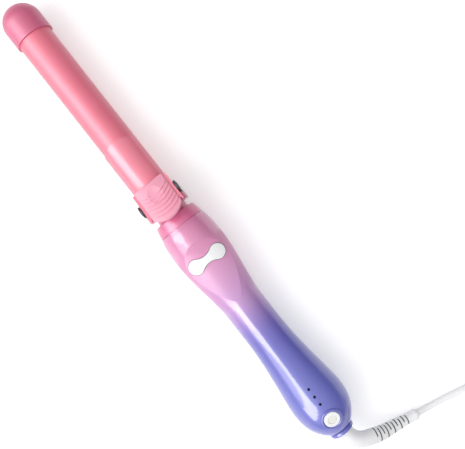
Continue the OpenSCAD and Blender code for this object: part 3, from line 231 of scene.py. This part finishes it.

# %% [markdown]
# ## Strain relief
# The relief is one soft moulding: a plain bent neck, then a taper that is cut by short slots, so
# that it bends easily there. Each row has two slots that face each other, and the next row is
# turned by some 70 degrees. A sweep is enough: rings of points follow the lead's own line, and
# the points that lie in a slot sit closer to the middle. The cut itself is in shadow on the real
# thing, so its faces take a second, dark grey material: painted shade in place of that shadow.

# %% Rings of the strain relief
RELIEF_SIDES = 72
BASE_R = 7.15 * MM
NECK_R = 5.6 * MM
TAPER_R = 3.6 * MM
CUFF_R = 4 * MM
LIP_END = 1.5 * MM
LIP = ((0, BASE_R), (1.1 * MM, BASE_R), (LIP_END, BASE_R - 0.35 * MM))
NECK_FROM = 2 * MM
NECK_RINGS = 18
NECK_FLARE = 0.7 * MM
FLARE_RINGS = 12
SLOTS_FROM = 24.7 * MM
NECK_TO = SLOTS_FROM - 0.6 * MM
SLOT_ROWS = 10
SLOT_PITCH = 3.02 * MM
SLOT_WIDTH = 0.85 * MM
SLOT_DEPTH = 1.7 * MM
SLOT_EDGE = 0.04 * MM
SLOT_TURNS = ((157, 62), (84, 72))
CUFF = (
    (-4.4 * MM, TAPER_R), (-3.6 * MM, 3.8 * MM), (-2.9 * MM, CUFF_R), (-1.8 * MM, CUFF_R),
    (-0.9 * MM, 3.5 * MM), (0, CORD_D / 2 + 0.25 * MM), (0.2 * MM, CORD_D / 2 - 0.3 * MM),
)
BASE_GAP = 0.3 * MM
PAST_RELIEF = 3 * MM
SPINE_SPARE = 12
LOOK_AHEAD = 0.6 * MM
SHARP_FROM = 40


def marks_of(line):
    """How far along the line each of its points lies."""
    marks = [0]
    for a, b in zip(line, line[1:]):
        marks.append(marks[-1] + (b - a).length)
    return marks


def place_on(line, marks, at):
    """The point of the line at a distance from its start."""
    for i in range(1, len(line)):
        if at <= marks[i] or i == len(line) - 1:
            return line[i - 1].lerp(line[i], (at - marks[i - 1]) / (marks[i] - marks[i - 1]))


def relief_sections(length):
    """Distance, radius and slot of each ring: its middle angle and its reach to each side."""
    rings = [(at, radius, None) for at, radius in LIP]
    for i in range(NECK_RINGS + 1):
        at = NECK_FROM + i * (NECK_TO - NECK_FROM) / NECK_RINGS
        rings.append((at, NECK_R + NECK_FLARE * (1 - ease(i / FLARE_RINGS)), None))
    for row in range(SLOT_ROWS):
        at = SLOTS_FROM + row * SLOT_PITCH
        radius = NECK_R + (TAPER_R - NECK_R) * row / SLOT_ROWS
        turn = SLOT_TURNS[row % 2]
        rings += [(at, radius, None), (at + SLOT_EDGE, radius, turn),
                  (at + SLOT_WIDTH - SLOT_EDGE, radius, turn), (at + SLOT_WIDTH, radius, None)]
    return rings + [(length + past, radius, None) for past, radius in CUFF]


# %% Mesh of the strain relief
def sweep_rings(name, rings, ring_points):
    """A closed mesh through rings of points; ring_points gives a ring's points and cut ones."""
    made = bmesh.new()
    loops = []
    for ring in rings:
        points, cut = ring_points(ring)
        loops.append(([made.verts.new(p) for p in points], cut))
    for (low, cut_low), (high, cut_high) in zip(loops, loops[1:]):
        for k in range(len(low)):
            n = (k + 1) % len(low)
            face = made.faces.new((low[k], low[n], high[n], high[k]))
            # Faces in a cut take material 1, the dark grey that paints the shade inside the slots.
            face.material_index = int(cut_low[k] + cut_low[n] + cut_high[k] + cut_high[n] > 1)
            face.smooth = True
    made.faces.new(reversed(loops[0][0]))
    made.faces.new(loops[-1][0])
    bmesh.ops.recalc_face_normals(made, faces=made.faces)
    mesh = bpy.data.meshes.new(name)
    made.to_mesh(mesh)
    made.free()
    mesh.set_sharp_from_angle(angle=math.radians(SHARP_FROM))
    piece = bpy.data.objects.new(name, mesh)
    bpy.context.scene.collection.objects.link(piece)
    return piece


spine = relief_line + run_line[1:SPINE_SPARE]
spine_marks = marks_of(spine)
relief_length = marks_of(relief_line)[-1] + PAST_RELIEF


def relief_ring(ring):
    """Points of one ring of the relief, and which of them lie in a slot."""
    at, radius, turn = ring
    centre = place_on(spine, spine_marks, at)
    along = Vector((-1, 0, 0))
    if at == 0:
        centre = centre - Vector((BASE_GAP, 0, 0))
    elif at > LIP_END:
        along = (place_on(spine, spine_marks, at + LOOK_AHEAD)
                 - place_on(spine, spine_marks, at - LOOK_AHEAD)).normalized()
    across = along.cross(Vector((0, 0, 1))).normalized()
    rise = across.cross(along)
    points, cut = [], []
    for k in range(RELIEF_SIDES):
        angle = k * 360 / RELIEF_SIDES
        sunk = turn is not None and abs((angle - turn[0] + 90) % 180 - 90) < turn[1]
        reach = radius - (SLOT_DEPTH if sunk else 0)
        a = math.radians(angle)
        points.append(centre + reach * (math.cos(a) * across + math.sin(a) * rise))
        cut.append(sunk)
    return points, cut


relief = sweep_rings("relief_sleeve", relief_sections(relief_length), relief_ring)
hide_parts("strain_relief")
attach(relief, "cord")
print(f"relief: {len(relief.data.polygons)} faces")

# %% [markdown]
# ## Shared effects
# Moulded plastic is never one flat value: the skin has a fine orange peel, its gloss drifts a
# little from place to place, and its pigment isn't quite even. Two node groups make these effects
# once, and every finish places them with its own numbers.

# %% Helpers for node trees
def ink(red, green, blue):
    """A colour as seen, 0 to 255 a channel, in Blender's linear light."""
    linear = []
    for value in (red, green, blue):
        c = value / 255
        linear.append(c / 12.92 if c <= 0.04045 else ((c + 0.055) / 1.055) ** 2.4)
    return (*linear, 1)


def new_group(name, inputs, outputs):
    """An empty shader group with named sockets, and its two end nodes."""
    group = bpy.data.node_groups.new(name, "ShaderNodeTree")
    for label, kind, value in inputs:
        socket = group.interface.new_socket(label, in_out="INPUT", socket_type="NodeSocket" + kind)
        socket.default_value = value
    for label, kind in outputs:
        group.interface.new_socket(label, in_out="OUTPUT", socket_type="NodeSocket" + kind)
    return group, group.nodes.new("NodeGroupInput"), group.nodes.new("NodeGroupOutput")


def add(tree, kind, **settings):
    """A node with its settings; a key such as input_Scale sets the socket called Scale."""
    node = tree.nodes.new(kind)
    for key, value in settings.items():
        if key.startswith("input_"):
            node.inputs[key.removeprefix("input_").replace("_", " ")].default_value = value
        else:
            setattr(node, key, value)
    return node


# %% Group: moulded skin
def make_moulded_skin():
    """Orange peel as a height, and a roughness that drifts a little."""
    group, start, end = new_group(
        "moulded skin",
        [("Peel Scale", "Float", 500), ("Rough", "Float", 0.3), ("Drift", "Float", 0.05)],
        [("Height", "Float"), ("Roughness", "Float")])
    place = add(group, "ShaderNodeTexCoord")
    peel = add(group, "ShaderNodeTexNoise", input_Detail=2)
    cloud = add(group, "ShaderNodeTexNoise", input_Scale=60, input_Detail=3)
    spread = add(group, "ShaderNodeMapRange", input_From_Min=0.3, input_From_Max=0.7,
                 input_To_Min=-1, input_To_Max=1)
    drift = add(group, "ShaderNodeMath", operation="MULTIPLY_ADD")
    link = group.links.new
    link(place.outputs["Object"], peel.inputs["Vector"])
    link(place.outputs["Object"], cloud.inputs["Vector"])
    link(start.outputs["Peel Scale"], peel.inputs["Scale"])
    link(cloud.outputs["Fac"], spread.inputs["Value"])
    link(spread.outputs["Result"], drift.inputs[0])
    link(start.outputs["Drift"], drift.inputs[1])
    link(start.outputs["Rough"], drift.inputs[2])
    link(peel.outputs["Fac"], end.inputs["Height"])
    link(drift.outputs["Value"], end.inputs["Roughness"])
    return group


moulded_skin = make_moulded_skin()
print(f"moulded skin: {len(moulded_skin.nodes)} nodes")


# %% Group: tint
def make_tint():
    """Two close colours, mixed by soft clouds, for pigment that isn't quite even."""
    group, start, end = new_group(
        "tint",
        [("Colour", "Color", (1, 1, 1, 1)), ("Deep Colour", "Color", (1, 1, 1, 1)),
         ("Cloud Scale", "Float", 40)],
        [("Colour", "Color")])
    place = add(group, "ShaderNodeTexCoord")
    cloud = add(group, "ShaderNodeTexNoise", input_Detail=4, input_Roughness=0.6)
    soft = add(group, "ShaderNodeMapRange", input_From_Min=0.35, input_From_Max=0.75)
    mix = add(group, "ShaderNodeMix", data_type="RGBA")
    link = group.links.new
    link(place.outputs["Object"], cloud.inputs["Vector"])
    link(start.outputs["Cloud Scale"], cloud.inputs["Scale"])
    link(cloud.outputs["Fac"], soft.inputs["Value"])
    link(soft.outputs["Result"], mix.inputs["Factor"])
    link(start.outputs["Colour"], mix.inputs["A"])
    link(start.outputs["Deep Colour"], mix.inputs["B"])
    link(mix.outputs["Result"], end.inputs["Colour"])
    return group


tint = make_tint()
print(f"tint: {len(tint.nodes)} nodes")

# %% [markdown]
# ## Finishes
# One function makes a Principled material: colour through the tint group, roughness and height
# through the skin group. What is the same all over, such as the roughness of the coat or the
# metal, is set on the shader's own socket, so that it survives the export. A finish whose colour
# comes from a group of its own also takes the weight of its clear coat from there.

# %% A finish
def finish(name, colour, deep, rough=0.35, drift=0.04, metal=0.0, coat=0.0, coat_rough=0.08,
           peel=700, bump=0.04, cloud=40, colour_from=None, specular=0.5):
    """A material of one kind of surface."""
    material = bpy.data.materials.new(name)
    material.use_nodes = True
    tree = material.node_tree
    shader = tree.nodes["Principled BSDF"]
    shader.inputs["Metallic"].default_value = metal
    shader.inputs["Coat Weight"].default_value = coat
    shader.inputs["Coat Roughness"].default_value = coat_rough
    shader.inputs["Specular IOR Level"].default_value = specular
    skin = add(tree, "ShaderNodeGroup", node_tree=moulded_skin)
    skin.inputs["Peel Scale"].default_value = peel
    skin.inputs["Rough"].default_value = rough
    skin.inputs["Drift"].default_value = drift
    orange_peel = add(tree, "ShaderNodeBump", input_Strength=bump, input_Distance=0.1 * MM)
    pigment = colour_from(tree) if colour_from else add(tree, "ShaderNodeGroup", node_tree=tint)
    if colour_from:
        tree.links.new(pigment.outputs["Gloss"], shader.inputs["Coat Weight"])
    else:
        pigment.inputs["Colour"].default_value = colour
        pigment.inputs["Deep Colour"].default_value = deep
        pigment.inputs["Cloud Scale"].default_value = cloud
    tree.links.new(pigment.outputs["Colour"], shader.inputs["Base Color"])
    tree.links.new(skin.outputs["Roughness"], shader.inputs["Roughness"])
    tree.links.new(skin.outputs["Height"], orange_peel.inputs["Height"])
    tree.links.new(orange_peel.outputs["Normal"], shader.inputs["Normal"])
    return material


# %% [markdown]
# The handle's lacquer fades from orchid pink at the collar to blue at the belly. The fade
# belongs to the place on the handle, so a ramp reads the X coordinate of the piece. The control
# face round the rocker is satin, so the gloss of the clear coat stops short of it on both sides.

# %% Group: the fade of the lacquer
FADE_START = -5 * MM
FADE_LENGTH = 150 * MM
SATIN_FRONT = (-20 * MM, -27 * MM)
SATIN_REAR = (-60 * MM, -74 * MM)
FADE = [
    (0.00, ink(216, 124, 168)), (0.14, ink(224, 148, 188)), (0.27, ink(220, 158, 200)),
    (0.44, ink(198, 150, 204)), (0.575, ink(110, 98, 190)), (0.72, ink(96, 97, 190)),
    (1.00, ink(106, 110, 198)),
]


def make_fade():
    """Colour of the lacquer along the handle, and the weight of its clear coat."""
    group, _, end = new_group("fade", [], [("Colour", "Color"), ("Gloss", "Float")])
    place = add(group, "ShaderNodeTexCoord")
    split = add(group, "ShaderNodeSeparateXYZ")
    along = add(group, "ShaderNodeMapRange", input_From_Min=FADE_START,
                input_From_Max=FADE_START - FADE_LENGTH)
    ramp = add(group, "ShaderNodeValToRGB")
    ramp.color_ramp.interpolation = "B_SPLINE"
    while len(ramp.color_ramp.elements) < len(FADE):
        ramp.color_ramp.elements.new(0.5)
    for element, (at, colour) in zip(ramp.color_ramp.elements, FADE):
        element.position = at
        element.color = colour
    ahead = add(group, "ShaderNodeMapRange", interpolation_type="SMOOTHSTEP",
                input_From_Min=SATIN_FRONT[1], input_From_Max=SATIN_FRONT[0])
    behind = add(group, "ShaderNodeMapRange", interpolation_type="SMOOTHSTEP",
                 input_From_Min=SATIN_REAR[1], input_From_Max=SATIN_REAR[0],
                 input_To_Min=1, input_To_Max=0)
    gloss = add(group, "ShaderNodeMath", operation="ADD", use_clamp=True)
    link = group.links.new
    link(place.outputs["Object"], split.inputs["Vector"])
    for reader in (along, ahead, behind):
        link(split.outputs["X"], reader.inputs["Value"])
    link(along.outputs["Result"], ramp.inputs["Fac"])
    link(ramp.outputs["Color"], end.inputs["Colour"])
    link(ahead.outputs["Result"], gloss.inputs[0])
    link(behind.outputs["Result"], gloss.inputs[1])
    link(gloss.outputs["Value"], end.inputs["Gloss"])
    return group


fade = make_fade()


def faded(tree):
    """The fade as the colour and the coat of a finish."""
    return add(tree, "ShaderNodeGroup", node_tree=fade)


print(f"fade: {len(FADE)} colours over {FADE_LENGTH / MM:.0f} mm")


# %% All finishes
FINISHES = {
    "cap_pink": finish("cap pink", ink(214, 96, 134), ink(208, 90, 129), rough=0.5, coat=1,
                       coat_rough=0.48),
    "insulator": finish("insulator", ink(235, 228, 222), ink(225, 216, 210), rough=0.5),
    "screw_steel": finish("screw steel", ink(190, 192, 196), ink(175, 177, 182), rough=0.3,
                          metal=1.0, peel=1500),
    "barrel_coral": finish("barrel coral", ink(236, 114, 138), ink(233, 108, 133), rough=0.5,
                           drift=0.03, coat=1, coat_rough=0.48, peel=900, bump=0.03),
    "spreader": finish("spreader", ink(200, 202, 205), ink(188, 190, 194), rough=0.4, metal=1.0),
    "heater": finish("heater", ink(90, 88, 86), ink(76, 74, 72), rough=0.6),
    "sensor": finish("sensor", ink(200, 150, 70), ink(188, 138, 60), rough=0.3),
    "hub_pink": finish("hub pink", ink(214, 96, 138), ink(208, 90, 132), rough=0.4, coat=1,
                       coat_rough=0.3),
    "hinge_steel": finish("hinge steel", ink(96, 96, 104), ink(78, 78, 86), rough=0.34,
                          metal=1.0, peel=1500),
    "spring_steel": finish("spring steel", ink(150, 150, 155), ink(130, 130, 136), rough=0.35,
                           metal=1.0, peel=1500),
    "clamp_pink": finish("clamp pink", ink(243, 130, 152), ink(241, 124, 147), rough=0.4, coat=1,
                         coat_rough=0.26, peel=900, bump=0.02),
    "pad_pink": finish("pad pink", ink(242, 160, 184), ink(240, 154, 179), rough=0.5, coat=0.4,
                       coat_rough=0.45),
    "spindle": finish("spindle", ink(180, 182, 188), ink(165, 168, 174), rough=0.3, metal=1.0),
    "inner_plastic": finish("inner plastic", ink(206, 202, 198), ink(196, 192, 188), rough=0.5),
    "black_plastic": finish("black plastic", ink(32, 32, 34), ink(26, 26, 28), rough=0.45),
    "contact_brass": finish("contact brass", ink(214, 172, 98), ink(200, 158, 86), rough=0.28,
                            metal=1.0),
    "motor_steel": finish("motor steel", ink(176, 178, 184), ink(160, 162, 168), rough=0.35,
                          metal=1.0),
    "brush_carbon": finish("brush carbon", ink(38, 38, 38), ink(28, 28, 28), rough=0.7),
    "damper_rubber": finish("damper rubber", ink(40, 40, 42), ink(32, 32, 34), rough=0.75),
    "board_green": finish("board green", ink(36, 96, 62), ink(30, 84, 54), rough=0.4),
    "handle_ombre": finish("handle ombre", None, None, rough=0.4, drift=0.03, coat=1,
                           coat_rough=0.09, colour_from=faded, bump=0.02),
    "collar_pink": finish("collar pink", ink(220, 104, 152), ink(215, 98, 146), rough=0.4, coat=1,
                          coat_rough=0.34),
    "button_white": finish("button white", ink(250, 251, 252), ink(246, 247, 248), rough=0.5,
                           specular=0.3),
    "lens_cream": finish("lens cream", ink(244, 241, 234), ink(240, 236, 228), rough=0.3),
    "lens_dark": finish("lens dark", ink(12, 10, 34), ink(9, 8, 28), rough=0.6, specular=0.1),
    "cord_white": finish("cord white", ink(246, 246, 247), ink(240, 240, 242), rough=0.5,
                         peel=400, bump=0.06),
    "tie_white": finish("tie white", ink(232, 232, 233), ink(222, 222, 224), rough=0.6),
    "blade_brass": finish("blade brass", ink(214, 178, 108), ink(202, 166, 96), rough=0.3,
                          metal=1.0),
}
for part in frame["record"]["subparts"]:
    for held in nodes[part["node"]].material_slots:
        held.material = FINISHES[part["material_slot"]]
lead.data.materials.append(FINISHES["cord_white"])
# Painted shade: a dark grey for the slot faces of the white relief, standing in for the shadow in
# the cuts.
painted_slot_shade = finish("painted slot shade", ink(112, 113, 118), ink(100, 101, 106), rough=0.7)
for dress in (FINISHES["cord_white"], painted_slot_shade):
    relief.data.materials.append(dress)
print(f"{len(FINISHES)} finishes")

# %% [markdown]
# ## Cross-head screws
# Four equal screws hold the handle's halves together, deep in wells on the underside. One screw
# is described once in Geometry Nodes, with its cross recess cut by a boolean, and is set on a
# point at each place where the frame has a screw. The frame's own screws give those points.

# %% Places of the case screws
SCREW_HEAD_R = 2.1 * MM
SCREW_HEAD_H = 1.6 * MM
SCREW_SHANK_R = 1.1 * MM
RECESS = (2.5 * MM, 0.62 * MM, 1.1 * MM)
HEAD_SIDES = 40
SHANK_SIDES = 24


def islands(node):
    """The lowest and highest corners of each separate solid of a node."""
    made = bmesh.new()
    made.from_mesh(nodes[node].data)
    bmesh.ops.remove_doubles(made, verts=made.verts, dist=MERGE)
    left, boxes = set(made.verts), []
    while left:
        reach = [left.pop()]
        held = []
        while reach:
            vertex = reach.pop()
            held.append(vertex.co.copy())
            for edge in vertex.link_edges:
                other = edge.other_vert(vertex)
                if other in left:
                    left.remove(other)
                    reach.append(other)
        boxes.append([Vector([pick(p[i] for p in held) for i in range(3)]) for pick in (min, max)])
    made.free()
    return boxes


screw_boxes = islands("case_screws")
print(f"{len(screw_boxes)} case screws")


# %% One screw in Geometry Nodes
def make_screws_tree():
    """A cross-head screw on every point; its head looks down."""
    tree = bpy.data.node_groups.new("cross screws", "GeometryNodeTree")
    tree.interface.new_socket("Points", in_out="INPUT", socket_type="NodeSocketGeometry")
    for label, kind, value in (("Head Radius", "Float", 2 * MM), ("Head Height", "Float", MM),
                               ("Shank Radius", "Float", MM), ("Shank Length", "Float", 10 * MM),
                               ("Recess", "Vector", (1, 1, 1))):
        socket = tree.interface.new_socket(label, in_out="INPUT", socket_type="NodeSocket" + kind)
        socket.default_value = value
    tree.interface.new_socket("Steel", in_out="INPUT", socket_type="NodeSocketMaterial")
    tree.interface.new_socket("Screws", in_out="OUTPUT", socket_type="NodeSocketGeometry")
    start, end = add(tree, "NodeGroupInput"), add(tree, "NodeGroupOutput")
    link = tree.links.new
    head = add(tree, "GeometryNodeMeshCylinder", input_Vertices=HEAD_SIDES)
    shank = add(tree, "GeometryNodeMeshCylinder", input_Vertices=SHANK_SIDES)
    link(start.outputs["Head Radius"], head.inputs["Radius"])
    link(start.outputs["Head Height"], head.inputs["Depth"])
    link(start.outputs["Shank Radius"], shank.inputs["Radius"])
    link(start.outputs["Shank Length"], shank.inputs["Depth"])
    half_head = add(tree, "ShaderNodeMath", operation="MULTIPLY")
    half_head.inputs[1].default_value = 0.5
    shank_mid = add(tree, "ShaderNodeMath", operation="MULTIPLY_ADD")
    shank_mid.inputs[1].default_value = 0.5
    link(start.outputs["Head Height"], half_head.inputs[0])
    link(start.outputs["Shank Length"], shank_mid.inputs[0])
    link(start.outputs["Head Height"], shank_mid.inputs[2])
    lifts = []
    for height, mesh in ((half_head, head), (shank_mid, shank)):
        lift = add(tree, "GeometryNodeTransform")
        offset = add(tree, "ShaderNodeCombineXYZ")
        link(height.outputs["Value"], offset.inputs["Z"])
        link(offset.outputs["Vector"], lift.inputs["Translation"])
        link(mesh.outputs["Mesh"], lift.inputs["Geometry"])
        lifts.append(lift)
    arm = add(tree, "GeometryNodeMeshCube")
    link(start.outputs["Recess"], arm.inputs["Size"])
    turned_arm = add(tree, "GeometryNodeTransform", input_Rotation=(0, 0, math.radians(90)))
    link(arm.outputs["Mesh"], turned_arm.inputs["Geometry"])
    cut = add(tree, "GeometryNodeMeshBoolean", operation="DIFFERENCE", solver="EXACT")
    link(lifts[0].outputs["Geometry"], cut.inputs["Mesh 1"])
    link(arm.outputs["Mesh"], cut.inputs["Mesh 2"])
    link(turned_arm.outputs["Geometry"], cut.inputs["Mesh 2"])
    whole = add(tree, "GeometryNodeJoinGeometry")
    link(cut.outputs["Mesh"], whole.inputs["Geometry"])
    link(lifts[1].outputs["Geometry"], whole.inputs["Geometry"])
    spread = add(tree, "GeometryNodeInstanceOnPoints")
    solid = add(tree, "GeometryNodeRealizeInstances")
    dress = add(tree, "GeometryNodeSetMaterial")
    link(start.outputs["Points"], spread.inputs["Points"])
    link(whole.outputs["Geometry"], spread.inputs["Instance"])
    link(spread.outputs["Instances"], solid.inputs["Geometry"])
    link(solid.outputs["Geometry"], dress.inputs["Geometry"])
    link(start.outputs["Steel"], dress.inputs["Material"])
    link(dress.outputs["Geometry"], end.inputs["Screws"])
    return tree


def grow(name, tree, points, **sizes):
    """The mesh that a Geometry Nodes tree makes on some points, as a plain object."""
    seed = bpy.data.meshes.new(name + " points")
    seed.from_pydata(points, [], [])
    maker = bpy.data.objects.new(name + " maker", seed)
    bpy.context.scene.collection.objects.link(maker)
    modifier = maker.modifiers.new("grow", "NODES")
    modifier.node_group = tree
    for item in tree.interface.items_tree:
        if item.in_out == "INPUT" and item.name.replace(" ", "_") in sizes:
            modifier[item.identifier] = sizes[item.name.replace(" ", "_")]
    found = maker.evaluated_get(bpy.context.evaluated_depsgraph_get())
    piece = bpy.data.objects.new(name, bpy.data.meshes.new_from_object(found))
    bpy.data.objects.remove(maker)
    bpy.context.scene.collection.objects.link(piece)
    return piece


screw_points = [((low.x + high.x) / 2, (low.y + high.y) / 2, low.z) for low, high in screw_boxes]
shank_length = screw_boxes[0][1].z - screw_boxes[0][0].z - SCREW_HEAD_H
case_screws = grow("cross_head_screws", make_screws_tree(), screw_points,
                   Head_Radius=SCREW_HEAD_R, Head_Height=SCREW_HEAD_H,
                   Shank_Radius=SCREW_SHANK_R, Shank_Length=shank_length,
                   Recess=RECESS, Steel=FINISHES["screw_steel"])
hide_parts("case_screws")
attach(case_screws, "handle")
print(f"screws: {len(case_screws.data.polygons)} faces")

# %% [markdown]
# ## Clamp spring
# The spring is wound round the hinge pin. One leg rests on the hub and the other one lies under
# the lever, so when the lever goes down, the far end of the coil turns with it and the near end
# stays. The frame's spring gives the shape, as a copy whose loose triangles are merged.

spring_mesh = bmesh.new()
spring_mesh.from_mesh(nodes["clamp_spring"].data)
bmesh.ops.remove_doubles(spring_mesh, verts=spring_mesh.verts, dist=MERGE)
wound = bpy.data.meshes.new("wound_spring")
spring_mesh.to_mesh(wound)
spring_mesh.free()
wound.shade_smooth()
spring = bpy.data.objects.new("wound_spring", wound)
bpy.context.scene.collection.objects.link(spring)
spring.data.materials.clear()
spring.data.materials.append(FINISHES["spring_steel"])
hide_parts("clamp_spring")
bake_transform(spring)
print(f"spring: {len(spring.data.polygons)} faces")

# %% [markdown]
# ## Light and table
# Product pictures on white are lit by a wide soft surround that is brighter on one side. Here
# the sky does most of that work: its strength follows the direction, brightest overhead with a
# lean towards +Y and dim low down at -Y, so the iron is shaded round and throws a soft shadow to
# one side. A weak window at +Y helps it. The long pale bands on the lacquer are two strip
# lights. Only gloss shows them, because their own light would wash the shadow out. The table is
# nearly white by its own colour, and a little glow that the camera and reflections see takes it
# the rest of the way without putting more light on the iron.

# %% World
BRIGHTEST = (0, 0.3, 0.954)
DARK_SIDE = 0.12
LIT_SIDE = 1.05
DUSK = -0.1
world = bpy.data.worlds.new("surround")
bpy.context.scene.world = world
world.use_nodes = True
sky = world.node_tree
way = add(sky, "ShaderNodeTexCoord")
near = add(sky, "ShaderNodeVectorMath", operation="DOT_PRODUCT")
near.inputs[1].default_value = BRIGHTEST
level = add(sky, "ShaderNodeMapRange", interpolation_type="SMOOTHSTEP", input_From_Min=DUSK,
            input_From_Max=1, input_To_Min=DARK_SIDE, input_To_Max=LIT_SIDE)
sky.links.new(way.outputs["Generated"], near.inputs[0])
sky.links.new(near.outputs["Value"], level.inputs["Value"])
sky.nodes["Background"].inputs["Color"].default_value = (1, 1, 1, 1)
sky.links.new(level.outputs["Result"], sky.nodes["Background"].inputs["Strength"])
print(f"sky strength from {DARK_SIDE} to {LIT_SIDE}")


# %% Lamps
def window(name, place, size, power):
    """A soft rectangular lamp that faces the middle of the iron."""
    data = bpy.data.lights.new(name, "AREA")
    data.shape = "RECTANGLE"
    data.size, data.size_y = size
    data.energy = power
    lamp = bpy.data.objects.new(name, data)
    lamp.location = place
    lamp.rotation_mode = "QUATERNION"
    lamp.rotation_quaternion = (-Vector(place)).to_track_quat("-Z", "Y")
    bpy.context.scene.collection.objects.link(lamp)
    return lamp


KEY_PLACE = (0.1, 0.75, 0.75)
KEY_SIZE = (0.7, 0.9)
KEY_POWER = 5
STRIPS = {
    "rear strip": ((-0.41, 0.75, 0.75), (0.46, 0.9), 11),
    "front strip": ((0.45, 0.75, 0.75), (0.56, 0.9), 9),
}
window("key window", KEY_PLACE, KEY_SIZE, KEY_POWER)
for name, (place, size, power) in STRIPS.items():
    window(name, place, size, power).visible_diffuse = False
print(f"{1 + len(STRIPS)} lamps")

# %% Table
TABLE_HALF = 4
TABLE_GLOW = 0.3
TABLE_WHITE = ink(246, 246, 247)
bpy.ops.mesh.primitive_plane_add(size=2 * TABLE_HALF, location=(0, 0, 0))
table = bpy.context.object
table.name = "table"
table_material = bpy.data.materials.new("table white")
table_material.use_nodes = True
tree = table_material.node_tree
shader = tree.nodes["Principled BSDF"]
shader.inputs["Base Color"].default_value = TABLE_WHITE
shader.inputs["Roughness"].default_value = 0.9
shader.inputs["Specular IOR Level"].default_value = 0.1
shader.inputs["Emission Color"].default_value = (1, 1, 1, 1)
path = add(tree, "ShaderNodeLightPath")
seen = add(tree, "ShaderNodeMath", operation="ADD", use_clamp=True)
glow = add(tree, "ShaderNodeMath", operation="MULTIPLY")
glow.inputs[1].default_value = TABLE_GLOW
tree.links.new(path.outputs["Is Camera Ray"], seen.inputs[0])
tree.links.new(path.outputs["Is Glossy Ray"], seen.inputs[1])
tree.links.new(seen.outputs["Value"], glow.inputs[0])
tree.links.new(glow.outputs["Value"], shader.inputs["Emission Strength"])
table.data.materials.append(table_material)
print(f"table {2 * TABLE_HALF} m wide")

# %% Settings
bpy.context.scene.view_settings.view_transform = "Standard"
